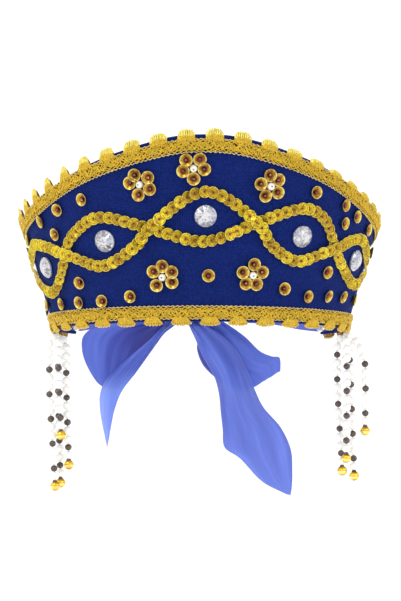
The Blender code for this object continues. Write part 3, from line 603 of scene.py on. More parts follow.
def sequin_strings():
    over, under = string_routes()
    disc, thread = sequin(), stitch()
    raised = near_crossing(figure_points(over, 0), figure_points(under, 0))
    for seed, label, route, raised in ((3, "over", over, raised), (4, "under", under, 0)):
        line = figure_points(route, STRING_LIFT + OVERPASS_LIFT * raised + 0 * route[:, 0])
        runs = np.gradient(line, axis=0)
        runs[runs[:, 1] > 0] *= -1  # every sequin leans toward the front
        spots, outs, runs = even(line, SEQUIN_PITCH, crown_axes(route[:, 0])[3], runs)
        stray = np.random.default_rng(seed).uniform(-SEQUIN_STRAY, SEQUIN_STRAY, (len(spots), 1))
        spots = spots + runs / np.linalg.norm(runs, axis=1, keepdims=True) * stray
        name = f"sequin_string_{label}"
        row = sewn(name + "_sequins", spots, outs, runs, disc, gold_film, SEQUIN_TILT, 0.10, 0.05, seed)
        attach(row, "gold_sequin", name)
        held = sewn(name + "_stitches", spots, outs, runs, thread, ochre_thread, SEQUIN_TILT, 0.10, 0.0, seed)
        attach(held, "gold_sequin")


sequin_strings()

# Cut stones
# Round acrylic stones with a flat table and rows of facets, clear over a silver foil back. They are sewn or
# glued on in the middle of each loop of the strings, and look nearly white, with a grey or pink facet here
# and there.
STONE_RADIUS = 0.0063
STONE_HEIGHT = 0.0034
STONE_FACETS = 12
STONES = [
    # along, share from the figure's foot to its crest
    (-0.590, 0.287),
    (-0.307, 0.508),
    (0.001, 0.750),
    (0.300, 0.562),
    (0.561, 0.366),
]

# Clear acrylic shows the crinkled foil behind it, in cells of a millimetre, and each facet another tone of it
foiled_acrylic, tree, shader = finish("clear acrylic over silver foil", Roughness=0.12, Metallic=0.25,
                                      Coat_Weight=0.6, Coat_Roughness=0.05)
spark = node(tree, "ShaderNodeAttribute", {"attribute_name": "spark"}).outputs["Fac"]
coords = node(tree, "ShaderNodeTexCoord").outputs["Object"]
crinkle = node(tree, "ShaderNodeTexVoronoi", {"Scale": 1100.0}, {"Vector": coords})
cell = node(tree, "ShaderNodeSeparateColor", {}, {0: crinkle.outputs["Color"]})
facet = node(tree, "ShaderNodeValToRGB",
             {"stops": [(0.0, "#3a3734"), (0.06, "#7c7a80"), (0.2, "#aaacb8"), (0.34, "#cfbfc0"),
                        (0.5, "#a8acb8"), (0.7, "#c8c8c8")]}, {0: spark})
foil = node(tree, "ShaderNodeValToRGB",
            {"stops": [(0.0, "#6e7078"), (0.14, "#b0b2ba"), (0.3, "#e8dad8"), (0.5, "#ffffff")]}, {0: cell})
seen = node(tree, "ShaderNodeMix", {**MULTIPLIED, 0: 0.75}, {6: facet, 7: foil})
link(shader, {"Base Color": seen})


def cut_stones():
    """Each stone: foil back, girdle, lower triangles, kites, stars and table, and a tone for every facet."""
    verts, faces, sparks = [], [], []
    chance = random.Random(11)
    sides = 2 * STONE_FACETS
    rings = [
        # radius and height as shares, corners, turn in corners
        (1.0, 0.0, sides, 0),
        (1.0, 0.28, sides, 0),
        (0.77, 0.70, STONE_FACETS, 0),
        (0.46, 1.0, STONE_FACETS, 0.5),
    ]
    for along, share in STONES:
        rim, right, up, out = crown_axes(along)
        centre = on_crown(along, FIGURE_FOOT + (FIGURE_CREST - FIGURE_FOOT) * share, GAP)
        starts = []
        for radius, height, count, turn in rings:
            starts.append(len(verts))
            for i in range(count):
                angle = 2 * pi * (i + turn) / count
                spoke = (right * cos(angle) + up * sin(angle)) * radius * STONE_RADIUS
                verts.append(centre + spoke + out * height * STONE_HEIGHT)
        back, girdle, kites, table = starts
        found = [list(range(back, back + sides)), list(range(table, table + STONE_FACETS))]
        for i in range(sides):
            j = (i + 1) % sides
            found.append([back + i, back + j, girdle + j, girdle + i])
        for i in range(STONE_FACETS):
            j = (i + 1) % STONE_FACETS
            before, here, after = girdle + (2 * i - 1) % sides, girdle + 2 * i, girdle + 2 * i + 1
            found += [[here, after, kites + i], [before, here, kites + i]]
            found += [[after, kites + j, table + i, kites + i], [kites + j, table + j, table + i]]
        faces += found
        tones = [1.0, 0.9] + [0.5] * sides
        tones += [chance.choice((0.2, 0.5, 0.6, 0.7, 0.9)) for i in range(4 * STONE_FACETS)]
        # Two neighbouring facets low on each stone are painted dark as its shadowed underside
        shadow = chance.choice((8, 9, 10))
        for i in (shadow, shadow + 1):
            tones[2 + sides + 4 * (i % STONE_FACETS) + 2] = 0.02 + 0.06 * chance.random()
        sparks += tones
    mesh = bpy.data.meshes.new("cut_stones")
    mesh.from_pydata([tuple(v) for v in verts], [], faces)
    tones = mesh.attributes.new("spark", "FLOAT", "FACE")
    tones.data.foreach_set("value", sparks)
    faced_out(mesh)
    mesh.materials.append(foiled_acrylic)
    attach(shown("cut_stones", mesh), "cut_stone", *[f"crystal_{k}" for k in range(1, 6)])


cut_stones()

# Cup sequins and flowers
# Dished sequins of amber gold film, each held by a seed bead over its hole. Some are sewn on singly. Others
# stand in fives round a pearl of white glass, each petal a little over the next one.
CUP_HEIGHT = 0.0017
PETAL_STEP = 0.00022
PEARL_DIAMETER = 0.005
PEARL_SEEN_SHARE = 0.94
SEED_BEAD = 0.0017
CUP_PROFILE = [
    # shares of the radius and the height: over the top, then back underneath
    (0.0, 0.12),
    (0.44, 0.14),
    (0.66, 0.42),
    (0.86, 0.83),
    (0.93, 1.0),
    (1.0, 1.0),
    (1.0, 0.84),
    (0.88, 0.66),
    (0.66, 0.24),
    (0.46, 0.0),
    (0.0, 0.0),
]
FLOWERS = [
    # along, share of the room between the braids, petal angles in degrees
    (-0.177, 0.965, (121, 38, -28, -104, 170)),
    (-0.032, 1.015, (133, 54, -6, -90, -164)),
    (0.177, 0.953, (93, 38, -34, -113, 170)),
    (-0.130, 0.110, (90, 27, -31, -129, 148)),
    (0.148, 0.133, (84, 17, -62, -125, 166)),
]
CUP_SEQUINS = [
    # along, share of the room between the braids
    (-0.360, 0.932),
    (-0.458, 0.976),
    (-0.550, 0.997),
    (-0.491, 0.763),
    (-0.695, 0.990),
    (-0.785, 0.946),
    (0.321, 0.956),
    (0.437, 0.997),
    (0.501, 0.980),
    (0.451, 0.832),
    (0.593, 0.983),
    (0.757, 0.915),
    (0.011, 0.169),
    (-0.243, 0.030),
    (-0.350, 0.001),
    (-0.449, 0.005),
    (-0.547, 0.010),
    (-0.683, 0.038),
    (-0.429, 0.202),
    (-0.806, 0.008),
    (0.263, 0.099),
    (0.358, 0.050),
    (0.450, 0.079),
    (0.538, 0.102),
    (0.654, 0.108),
    (0.422, 0.308),
]


def edge_stretch(along, height_at):
    """How much longer a band that slopes with an edge measures up the crown than across itself."""
    along = np.asarray(along, float)
    ahead, behind = np.minimum(along + 0.002, 1), np.maximum(along - 0.002, -1)
    slope = on_crown(ahead, height_at(ahead)) - on_crown(behind, height_at(behind))
    slant = np.sum(slope * crown_axes(along)[2], -1) / np.linalg.norm(slope, axis=-1)
    return 1 / np.sqrt(1 - slant ** 2)


def room_height(along, share, reach):
    """Height for the middle of a sewn piece at a share of the room for its reach between the braids."""
    low = BOTTOM_MARGIN + BRAID_BAND + reach + GAP
    high = top_edge(along) - TOP_MARGIN - (BRAID_BAND + reach) * edge_stretch(along, top_edge) - GAP
    return low + (high - low) * share


# Amber film over a dark ground: the hollow is deep red brown, the walls amber, the rim a painted highlight
# where it catches the light, and the outer edge a painted contact shadow. Burnt specks are two millimetres
# apart.
amber_film, tree, shader = finish("amber gold metallised film", Metallic=0.5, Roughness=0.3)
reach = node(tree, "ShaderNodeAttribute", {"attribute_name": "reach"}).outputs["Fac"]
tone = node(tree, "ShaderNodeAttribute", {"attribute_name": "tone"}).outputs["Fac"]
coords = node(tree, "ShaderNodeTexCoord").outputs["Object"]
dents = node(tree, "ShaderNodeTexNoise", {"Scale": 500.0, "Detail": 2.0}, {"Vector": coords})
# Both ramps paint a highlight on the rim and a contact shadow on the outer edge
ringed = node(tree, "ShaderNodeValToRGB",
              {"stops": [(0.0, "#3a0e02"), (0.36, "#5a1c04"), (0.52, "#9a5e08"), (0.64, "#b49214"),
                         (0.82, "#c8ae24"), (0.92, "#f4ea8c"), (0.96, "#b89c44"), (1.0, "#301c04")]},
              {0: reach})
yellower = node(tree, "ShaderNodeValToRGB",
                {"stops": [(0.36, "#4a1804"), (0.54, "#a06a12"), (0.66, "#b89422"), (0.86, "#cfb238"),
                           (0.93, "#faeea0"), (1.0, "#3a2806")]}, {0: reach})
share = node(tree, "ShaderNodeMath", {"operation": "MULTIPLY", 1: 0.8}, {0: tone})
lighter = node(tree, "ShaderNodeMix", MIXED, {0: share, 6: ringed, 7: yellower})
burnt = node(tree, "ShaderNodeValToRGB", {"stops": [(0.38, "#b06c20"), (0.54, "#ffffff")]}, {0: dents})
film = node(tree, "ShaderNodeMix", {**MULTIPLIED, 0: 0.7}, {6: lighter, 7: burnt})
raised = node(tree, "ShaderNodeBump", {"Strength": 0.5, "Distance": 0.0003}, {"Height": dents})
link(shader, {"Base Color": film, "Normal": raised})

# Glass with a nacre coat: white, faintly warm, with a soft sheen of its own
white_pearl, tree, shader = finish("white pearl on glass", Roughness=0.22, Coat_Weight=0.6,
                                   Coat_Roughness=0.12, Sheen_Weight=0.1)
coords = node(tree, "ShaderNodeTexCoord").outputs["Object"]
nacre = node(tree, "ShaderNodeTexNoise", {"Scale": 380.0, "Detail": 2.0}, {"Vector": coords})
coat = node(tree, "ShaderNodeValToRGB", {"stops": [(0.3, "#f4f0e8"), (0.55, "#fffdf8"), (0.75, "#f8f8fb")]},
            {0: nacre})
link(shader, {"Base Color": coat})

# The flowers' pearls are seen end on: painted shade in the grey hole, and a warm painted shade round the side
end_pearl, tree, shader = finish("white pearl on glass, end on", Roughness=0.22, Coat_Weight=0.5,
                                 Coat_Roughness=0.12)
reach = node(tree, "ShaderNodeAttribute", {"attribute_name": "reach"}).outputs["Fac"]
coords = node(tree, "ShaderNodeTexCoord").outputs["Object"]
nacre = node(tree, "ShaderNodeTexNoise", {"Scale": 380.0, "Detail": 2.0}, {"Vector": coords})
sides = node(tree, "ShaderNodeValToRGB",
             {"stops": [(0.16, "#a8a298"), (0.30, "#dcd8d0"), (0.55, "#f6f2ea"), (0.85, "#d0c8b8"),
                        (1.0, "#9a8e70")]}, {0: reach})
mottled = node(tree, "ShaderNodeValToRGB", {"stops": [(0.3, "#e8e2d8"), (0.6, "#ffffff")]}, {0: nacre})
coat = node(tree, "ShaderNodeMix", {**MULTIPLIED, 0: 1.0}, {6: sides, 7: mottled})
link(shader, {"Base Color": coat})

# Small glass beads, clear amber with a silvered hole
amber_glass, tree, shader = finish("amber glass with a silvered hole", Roughness=0.12, Metallic=0.35,
                                   Coat_Weight=1.0)
coords = node(tree, "ShaderNodeTexCoord").outputs["Object"]
flaw = node(tree, "ShaderNodeTexNoise", {"Scale": 900.0, "Detail": 1.0}, {"Vector": coords})
glass = node(tree, "ShaderNodeValToRGB", {"stops": [(0.40, "#4a1606"), (0.58, "#8a4a18"), (0.68, "#d0a060")]},
             {0: flaw})
link(shader, {"Base Color": glass})


def cup():
    """A dished sequin: flat floor with a raised hollow wall and a rolled rim."""
    radius = CUP_DIAMETER / 2 * CUP_FILM_SHARE
    return turned("cup", [(radius * wide, CUP_HEIGHT * high) for wide, high in CUP_PROFILE], 24, amber_film)


def bead(name, diameter, look, hole=0.22, squat=1.0, sides=16, steps=8):
    """A round bead with its hole along Z."""
    low = asin(hole)
    angles = [low + (pi - 2 * low) * k / steps for k in range(steps + 1)]
    outside = [(diameter / 2 * sin(a), diameter / 2 * squat * cos(a)) for a in angles]
    inside = [(diameter / 2 * hole * 0.8, outside[end][1] * 0.9) for end in (-1, 0)]
    return turned(name, outside + inside, sides, look)


def cups_and_flowers():
    spots, outs, ups, seeds = [], [], [], []
    pearls, pearl_outs = [], []
    for along, share in CUP_SEQUINS:
        rim, right, up, out = crown_axes(along)
        spots.append(on_crown(along, room_height(along, share, CUP_DIAMETER / 2), GAP))
        outs.append(out)
        ups.append(up)
    loose = len(spots)
    for along, share, angles in FLOWERS:
        rim, right, up, out = crown_axes(along)
        middle = on_crown(along, room_height(along, share, FLOWER_REACH), GAP)
        for k, angle in enumerate(angles):
            spoke = right * cos(radians(angle)) + up * sin(radians(angle))
            spots.append(middle + spoke * PETAL_RING_RADIUS + out * PETAL_STEP * k)
            outs.append(out)
            ups.append(spoke)
        pearls.append(middle + out * (PEARL_DIAMETER / 2 + PETAL_STEP))
        pearl_outs.append(out)
    spots, outs, ups = np.array(spots), np.array(outs), np.array(ups)
    pearls, pearl_outs = np.array(pearls), np.array(pearl_outs)
    dish = cup()
    seed = bead("seed", SEED_BEAD, amber_glass, 0.3, 0.7)
    pearl = bead("pearl", PEARL_DIAMETER * PEARL_SEEN_SHARE, end_pearl, 0.15)
    placed = (spots[:loose], outs[:loose], ups[:loose])
    singles = sewn("cup_sequins", *placed, dish, amber_film, 0.0, 0.13, 0.04, 5)
    attach(singles, "amber_sequin", *[f"cup_sequin_{k:02d}" for k in range(1, 27)])
    placed = (spots[loose:], outs[loose:], ups[loose:])
    petals = sewn("flower_petals", *placed, dish, amber_film, 0.05, 0.05, 0.0, 6)
    attach(petals, "amber_sequin", *[f"flower_{k}" for k in range(1, 6)])
    seed_spots = spots + outs * (0.2 * CUP_HEIGHT + 0.35 * SEED_BEAD)
    attach(sewn("cup_seed_beads", seed_spots, outs, ups, seed, amber_glass, 0.0, 0.2, 0.2, 7), "amber_sequin")
    upright = pearls * 0 + [[0, 0, 1]]
    middles = sewn("flower_pearls", pearls, pearl_outs, upright, pearl, end_pearl, 0.0, 0.2, 0.05, 8)
    attach(middles, "pearl_bead")


cups_and_flowers()

# Braids
# Crochet gimp of a stiff golden metallised cord, sewn along the upper edge and the rim. Rows of looped cord
# make the band, and fans of longer loops make the scallops, over a ground of closer threads with a painted
# shadow.
TOP_SCALLOP_RISE = 0.0062
BOTTOM_SCALLOP_RISE = 0.0042
TOP_SCALLOP_HALF_WIDTH = 0.0049
BOTTOM_SCALLOP_HALF_WIDTH = 0.0053
SCALLOP_PITCH = 0.0161
TOP_SHIFT_SHARE = -0.19
BOTTOM_SHIFT_SHARE = 0.19
CORD = 0.00085
PICOT_CORD = 0.00055
WINDING_PITCH = 0.0007
LOOP_PITCH = 0.0032
ZIGZAG_PITCH = 0.0052
PICOT_PITCH = 0.0027
LINE_STEP = 0.0005
GROUND_STEP = 0.0004
FAN_LOOPS = 8
FAN_FOOT = 0.0052
FAN_STRAY = 0.0003
LOOP_HALF_WIDTH = 0.00042
HIGHEST_SHARE = 0.98
TOP_DROOP_SHARE = 0.26
BOTTOM_DROOP_SHARE = 0.20
BOTTOM_FOOT_INSET = 0.0020
GROUND = 0.0004
# The upper scallops are pressed low on the right flank and drawn up to points on the left: share of the rise,
# and the shares of the half length where that starts and over which it grows
PRESSED_SHARE, PRESSED_START, PRESSED_RUN = 0.6, 0.10, 0.27
DRAWN_SHARE, DRAWN_START, DRAWN_RUN = 0.15, 0.25, 0.15
BAND_ROWS = [
    # middle across the band, swing to each side, turn, lift off the cloth
    (0.0013, 0.0013, 0.0, 0.0010),
    (0.0035, 0.0015, 0.5, 0.0013),
    (0.0057, 0.0012, 0.0, 0.0011),
]
PICOT_ROWS = [
    # foot across the band, reach away from it
    (0.0002, -0.0008),
    (BRAID_BAND - 0.0004, 0.0007),
]


def wound_cord(name, hollow, middle, crest, patches, metallic, roughness):
    """The finish of a cord of fine windings: painted shade in the hollows, a colour between them and a painted
    highlight on the crests.
    """
    made, tree, shader = finish(name, Metallic=metallic, Roughness=roughness)
    run, girth = [node(tree, "ShaderNodeAttribute", {"attribute_name": label}).outputs["Fac"]
                  for label in ("thread_length", "thread_round")]
    wound = node(tree, "ShaderNodeMath", {"operation": "DIVIDE", 1: WINDING_PITCH}, {0: run})
    turns = node(tree, "ShaderNodeMath", {"operation": "ADD"}, {0: wound, 1: girth})
    angle = node(tree, "ShaderNodeMath", {"operation": "MULTIPLY", 1: 2 * pi}, {0: turns})
    winding = node(tree, "ShaderNodeMath", {"operation": "SINE"}, {0: angle})
    height = node(tree, "ShaderNodeMath", {"operation": "MULTIPLY_ADD", 1: 0.5, 2: 0.5}, {0: winding})
    shaded_windings = node(tree, "ShaderNodeValToRGB", {"stops": [(0.0, hollow), (0.45, middle), (1.0, crest)]},
                  {0: height})
    coords = node(tree, "ShaderNodeTexCoord").outputs["Object"]
    patch = node(tree, "ShaderNodeTexNoise", {"Scale": 420.0, "Detail": 3.0}, {"Vector": coords})
    share = node(tree, "ShaderNodeValToRGB", {"stops": [(0.40, "#000000"), (0.62, "#ffffff")]}, {0: patch})
    patched = node(tree, "ShaderNodeMix", {**MIXED, 7: patches}, {0: share, 6: shaded_windings})
    raised = node(tree, "ShaderNodeBump", {"Strength": 0.5, "Distance": 0.0001}, {"Height": winding})
    link(shader, {"Base Color": patched, "Normal": raised})
    return made


# Metallised polyester wound on a cotton core: a painted glitter highlight along each winding, painted ochre
# shade in the hollows
golden_cord = wound_cord("golden metallised gimp cord", "#6a4204", "#caa21c", "#fbe34c", "#deb42a", 0.4, 0.42)
# The upper scallops' cord is a lit copy of the golden cord, painted lemon bright by the light from above
lit_scallop_cord = wound_cord("gimp cord painted lemon bright by light from above", "#b08e18", "#ecd84a", "#fff99c", "#faee70", 0.1, 0.5)
# The small loops along the edges are finer, and paler for a painted highlight on their tops
pale_highlit_cord = wound_cord("pale gimp cord for picots, with painted highlight", "#a07c30", "#d6b866", "#f2de9c", "#e0c684", 0.1, 0.55)

# The ground is the same cord worked close: golden behind, and in front a painted shadow, with the cotton core
# showing
shadowed_ground, tree, shader = finish("close worked ground of the gimp", Roughness=0.7, Metallic=0.1)
coords = node(tree, "ShaderNodeTexCoord").outputs
stitches = node(tree, "ShaderNodeTexVoronoi", {"Scale": 900.0}, {"Vector": coords["Object"]})
shaded = node(tree, "ShaderNodeValToRGB", {"stops": [(0.0, "#9a6412"), (0.45, "#603808"), (0.9, "#2c1403")]},
              {0: stitches})
golden = node(tree, "ShaderNodeValToRGB", {"stops": [(0.0, "#ecc43c"), (0.45, "#c8941c"), (0.9, "#7a4a08")]},
              {0: stitches})
across = node(tree, "ShaderNodeSeparateXYZ", {}, {0: coords["UV"]})
behind = node(tree, "ShaderNodeMath", {"operation": "LESS_THAN", 1: BRAID_BAND + GROUND / 4},
              {0: across.outputs["Y"]})
worked = node(tree, "ShaderNodeMix", MIXED, {0: behind, 6: shaded, 7: golden})
link(shader, {"Base Color": worked})


def cord_tree():
    """Geometry Nodes that turn polylines into round cords, with the run and the girth kept as attributes."""
    tree, sockets = empty_tree("cords along lines", Diameter="Float", Sides="Int")
    given = node(tree, "NodeGroupInput").outputs
    lines = node(tree, "GeometryNodeMeshToCurve", {}, {"Mesh": given["Geometry"]})
    half = node(tree, "ShaderNodeMath", {"operation": "MULTIPLY", 1: 0.5}, {0: given["Diameter"]})
    ring = node(tree, "GeometryNodeCurvePrimitiveCircle", {},
                {"Resolution": given["Sides"], "Radius": half.outputs[0]})
    marked = []
    for label, curve, measure in (("thread_length", lines, "Length"), ("thread_round", ring, "Factor")):
        place = node(tree, "GeometryNodeSplineParameter").outputs[measure]
        marked.append(node(tree, "GeometryNodeStoreNamedAttribute",
                           {"domain": "POINT", "data_type": "FLOAT", "Name": label},
                           {"Geometry": curve.outputs[0], "Value": place}))
    tubes = node(tree, "GeometryNodeCurveToMesh", {"Fill Caps": True},
                 {"Curve": marked[0].outputs[0], "Profile Curve": marked[1].outputs[0]})
    smooth = node(tree, "GeometryNodeSetShadeSmooth", {}, {"Geometry": tubes.outputs[0]})
    real = node(tree, "GeometryNodeRealizeInstances", {}, {0: smooth.outputs[0]})
    dressed = node(tree, "GeometryNodeSetMaterial", {},
                   {"Geometry": real.outputs[0], "Material": given["Material"]})
    node(tree, "NodeGroupOutput", {}, {0: dressed.outputs[0]})
    return tree, sockets


cords_tree, cords_sockets = cord_tree()


def cords(name, lines, diameter, sides, look):
    """Round cords along lists of points, as one plain mesh."""
    verts, edges = [], []
    for line in lines:
        edges += [(len(verts) + k, len(verts) + k + 1) for k in range(len(line) - 1)]
        verts += [tuple(p) for p in line]
    base = bpy.data.meshes.new(name)
    base.from_pydata(verts, edges, [])
    return made_plain(name, base, cords_tree, cords_sockets, Diameter=diameter, Sides=sides, Material=look)


def edge_run(height_at, side):
    """The length of an edge, the place at a run along it, and the points at runs, distances across and lifts.

    Distances start at the band's inner edge. The side is 1 where scallops point up and -1 where they hang.
    """
    places = np.linspace(-1, 1, 961)
    outers = height_at(places)
    lengths = run_lengths(on_crown(places, outers))
    stretches = edge_stretch(places, height_at)

    def place_at(run):
        return np.interp(run, lengths, places)

    def at(run, across, lift):
        run = np.clip(run, 0, lengths[-1])
        beyond = np.maximum(across - BRAID_BAND, 0)
        within = (np.minimum(across, BRAID_BAND) - BRAID_BAND) * np.interp(run, lengths, stretches)
        return on_crown(place_at(run), np.interp(run, lengths, outers) + side * (within + beyond), lift)

    return lengths[-1], place_at, at


def band_lines(at, total, chance):
    """Rows of looped cord, each of two cords that cross, worked loosely and never quite alike."""
    runs = np.linspace(0, total, int(total / LINE_STEP))
    wave = total / round(total / LOOP_PITCH / 2)
    lines = []
    for middle, swing, turn, proud in BAND_ROWS:
        for sense in (0, 1):
            loose = 0 * runs
            for low, high, slow, fast in ((0.3, 0.6, 150, 420), (0.2, 0.5, 600, 1300)):
                depth, rate = chance.uniform(low, high), chance.uniform(slow, fast)
                loose += depth * np.sin(runs * rate + chance.uniform(0, 6))
            angle = 2 * pi * (runs / wave + turn / 2 + sense / 2) + loose
            loopy = runs + 0.0007 * np.sin(2 * angle)
            lift = proud + 0.00035 * np.cos(angle * 2 + sense * pi) * (1 if sense else -1)
            full = 1 + 0.25 * np.sin(runs * chance.uniform(300, 700) + turn)
            lines.append(at(loopy, middle + swing * full * np.sin(angle), lift))
    return lines


def zigzag_lines(at, total, chance):
    """Two cords that run to and fro over the rows, half a tooth apart."""
    runs = np.linspace(0, total, int(total / LINE_STEP))
    tooth = total / round(total / ZIGZAG_PITCH)
    lines = []
    for sense in (0, 1):
        loose = 0.22 * np.sin(runs * chance.uniform(200, 500))
        loose += 0.12 * np.sin(runs * chance.uniform(900, 1500))
        way = (runs / tooth + sense / 2 + loose) % 1
        lift = 0.00155 + 0.0002 * np.cos(4 * pi * way) + 0.0001 * sense
        lines.append(at(runs, 0.0012 + 0.0046 * np.abs(2 * way - 1), lift))
    return lines


def picot_lines(at, total):
    """Small loops along both edges of the band."""
    runs = np.linspace(0, total, int(total / LINE_STEP))
    turn = pi * runs * round(total / PICOT_PITCH) / total
    arc = np.abs(np.sin(turn)) ** 0.7
    return [at(runs + 0.0003 * np.sin(2 * turn), foot + reach * arc, 0.0008 + 0.0003 * arc)
            for foot, reach in PICOT_ROWS]


def fan_lines(at, centre, tall, base, crest, droop, turn, chance):
    """One scallop: long loops from the band, wavy cords across them, and what shows along its outer edge."""
    fan, tips = [], []
    for k in range(FAN_LOOPS):
        lean = 2 * k / (FAN_LOOPS - 1) - 1
        foot = centre + lean * (base - 0.0003)
        tip = centre + lean * (crest - 0.0002) + chance.uniform(-FAN_STRAY, FAN_STRAY)
        reach = BRAID_BAND + tall * (HIGHEST_SHARE - droop * abs(lean) ** 3)
        reach -= CORD / 2 + abs(chance.gauss(0, 0.0004))
        start = FAN_FOOT + 0.0008 * abs(lean) + chance.uniform(-2 * FAN_STRAY, 2 * FAN_STRAY)
        u = np.linspace(0, 1, 10)
        width = LOOP_HALF_WIDTH * (0.4 + 0.9 * u)
        up = start + (reach - start) * u
        way = foot + (tip - foot) * u
        lift = 0.00125 + 0.00045 * np.sin(pi * u) + 0.00030 * (k % 2) + 0.0002 * u
        out, back = at(way - width, up, lift), at(way + width, up, lift)[::-1]
        fan.append(np.concatenate([out, at(way[-1:], up[-1:] + 0.0003, lift[-1:]), back]))
        low = 5 + k % 2
        tips.append(np.concatenate([out[low:], back[:10 - low]]))
    u = np.linspace(-1, 1, 25)
    for share in (0.12, 0.5):
        wide = base + (crest - base) * share - 0.0008
        zig = 0.0006 * np.sin(u * pi * 4.5 + turn)
        across = BRAID_BAND + share * tall * np.cos(u * 0.6) + zig - 0.0004
        fan.append(at(centre + u * wide, across, 0.0020 + 0 * u))
    crimp = 0.00045 * np.sin(u * pi * 5.5 + turn)
    rounded = BRAID_BAND + tall * (HIGHEST_SHARE - droop * np.abs(u) ** 3) - 0.0004 + crimp
    return fan, tips, at(centre + u * crest, rounded, 0.0013 + 0 * u)


def braid(name, height_at, side, rise, shift, spread, seed):
    """A braid along an edge: side is 1 when its scallops point up and -1 when they point down."""
    chance = random.Random(seed)
    total, place_at, at = edge_run(height_at, side)

    def drawn_at(run):
        """1 where the upper scallops are drawn to a point, on the left flank, and 0 elsewhere."""
        return np.clip((-place_at(run) - DRAWN_START) / DRAWN_RUN, 0, 1) * (side > 0)

    def rise_at(run):
        """Rise of the scallops, which differs along the upper edge alone."""
        pressed = np.clip((place_at(run) - PRESSED_START) / PRESSED_RUN, 0, 1) * (side > 0)
        return rise * (1 - PRESSED_SHARE * pressed + DRAWN_SHARE * drawn_at(run))

    band = band_lines(at, total, chance)
    zigzags = zigzag_lines(at, total, chance)
    fans, tips = [], []
    count = round(total / SCALLOP_PITCH)
    pitch = total / count
    for k in range(count):
        centre = (k + 0.5 + shift) * pitch
        tall = float(rise_at(centre)) * chance.uniform(0.93, 1.0)
        if side > 0:
            crest = float(spread * (0.86 - 0.52 * drawn_at(centre)))
            fan, loops, edge = fan_lines(at, centre, tall, spread, crest, TOP_DROOP_SHARE, k, chance)
            tips += loops
        else:
            foot = spread - BOTTOM_FOOT_INSET
            fan, loops, edge = fan_lines(at, centre, tall, foot, spread, BOTTOM_DROOP_SHARE, k, chance)
        fans += fan
        tips.append(edge)
    for label, lines, diameter, look, nodes in (
        ("band", band, CORD, golden_cord, [name]),
        ("zigzags", zigzags, CORD * 0.8, golden_cord, []),
        ("picots", picot_lines(at, total), PICOT_CORD, pale_highlit_cord, []),
        ("scallops", fans, CORD * 0.86, golden_cord, []),
        ("tips", tips, CORD * 0.95, lit_scallop_cord if side > 0 else pale_highlit_cord, []),
    ):
        attach(cords(f"{name}_{label}", lines, diameter, 5, look), "gold_braid", *nodes)

    runs = np.linspace(GROUND_STEP, total - GROUND_STEP, int(total / GROUND_STEP))
    half_width = (spread * (1 - 0.3 * drawn_at(runs)) - 0.0003) / pitch
    phase = np.abs((runs / pitch - shift) % 1 - 0.5) / half_width
    if side > 0:
        bump = np.clip(1 - phase ** (3.4 - 2.0 * drawn_at(runs)), 0, 1) ** 0.6
    else:
        bump = np.clip(1 - phase ** 8, 0, 1) ** 0.25
    tip = BRAID_BAND + (rise_at(runs) - 0.0009) * bump - 0.0004
    inner = 0 * runs + 0.0006
    low, high = 0.0001 + 0 * runs, 0.0001 + GROUND + 0 * runs
    section = [at(runs, inner, low), at(runs, tip, low), at(runs, tip, high), at(runs, inner, high)]
    girth = [0, BRAID_BAND, BRAID_BAND + GROUND, 2 * BRAID_BAND, 2 * BRAID_BAND + GROUND]
    grid = np.stack(section + section[:1], 1)
    uv = np.stack(np.meshgrid(girth, runs)[::-1], -1)
    attach(skin(f"{name}_ground", grid, uv, shadowed_ground, caps=True), "gold_braid")


braid("top_braid", lambda along: top_edge(along) - TOP_MARGIN, 1, TOP_SCALLOP_RISE, TOP_SHIFT_SHARE,
      TOP_SCALLOP_HALF_WIDTH, 21)
braid("bottom_braid", lambda along: BOTTOM_MARGIN + 0 * np.asarray(along, float), -1, BOTTOM_SCALLOP_RISE,
      BOTTOM_SHIFT_SHARE, BOTTOM_SCALLOP_HALF_WIDTH, 22)

# Ribbons
# Periwinkle polyester satin, 48 mm wide and half sheer, with woven edges. A tie runs inside each back corner,
# where a button holds it, and round to the knot. Two loops and two cut tails hang from the knot.
RIBBON_WIDTH = 0.048
RIBBON_THICKNESS = 0.001
SATIN_THICKNESS = 0.00032
TIE_WIDTH = 0.026
TIE_OVERLAP = 0.016
TIE_START_RISE = 0.001
KNOT_WIDTH = 0.018
KNOT_DEPTH = 0.013
KNOT_HEIGHT = 0.014
KNOT_OFF_CENTRE = 0.009
KNOT_RISE = 0.0164
KNOT_GRIP_SHARE = 0.6
LEFT_LOOP_DROP = 0.0464
RIGHT_LOOP_DROP = 0.0482
LEFT_TAIL_DROP = 0.0845
RIGHT_TAIL_DROP = 0.1145
YARN_PITCH = 0.0009
TIE = [
    # way from corner to knot, lower edge and upper edge in tie widths
    (0.20, 0.17, 1.00),
    (0.40, 0.31, 1.10),
    (0.60, 0.38, 1.16),
    (0.80, 0.43, 1.06),
]
LEFT_LOOP = [
    # left edge along and up, right edge along and up, depth of the middle, half opening
    (-0.62, -0.10, -0.25, -0.15, 0.09, 0.10),
    (-1.10, -0.13, -0.31, -0.29, 0.14, 0.16),
    (-1.34, -0.28, -0.40, -0.42, 0.18, 0.20),
    (-1.37, -0.49, -0.50, -0.59, 0.19, 0.19),
    (-1.30, -0.71, -0.63, -0.78, 0.18, 0.15),
    (-1.17, -0.92, -0.80, -0.94, 0.17, 0.08),
    (-1.07, -1.00, -0.88, -1.00, 0.16, 0.0),
]
RIGHT_LOOP = [
    # left edge along and up, right edge along and up, depth of the middle, half opening
    (0.22, -0.28, 0.54, -0.10, 0.09, 0.10),
    (0.20, -0.45, 0.82, -0.29, 0.14, 0.16),
    (0.29, -0.67, 1.02, -0.48, 0.18, 0.20),
    (0.50, -0.86, 1.18, -0.55, 0.19, 0.18),
    (0.74, -0.97, 1.29, -0.57, 0.18, 0.11),
    (0.88, -1.00, 1.30, -0.74, 0.16, 0.0),
]
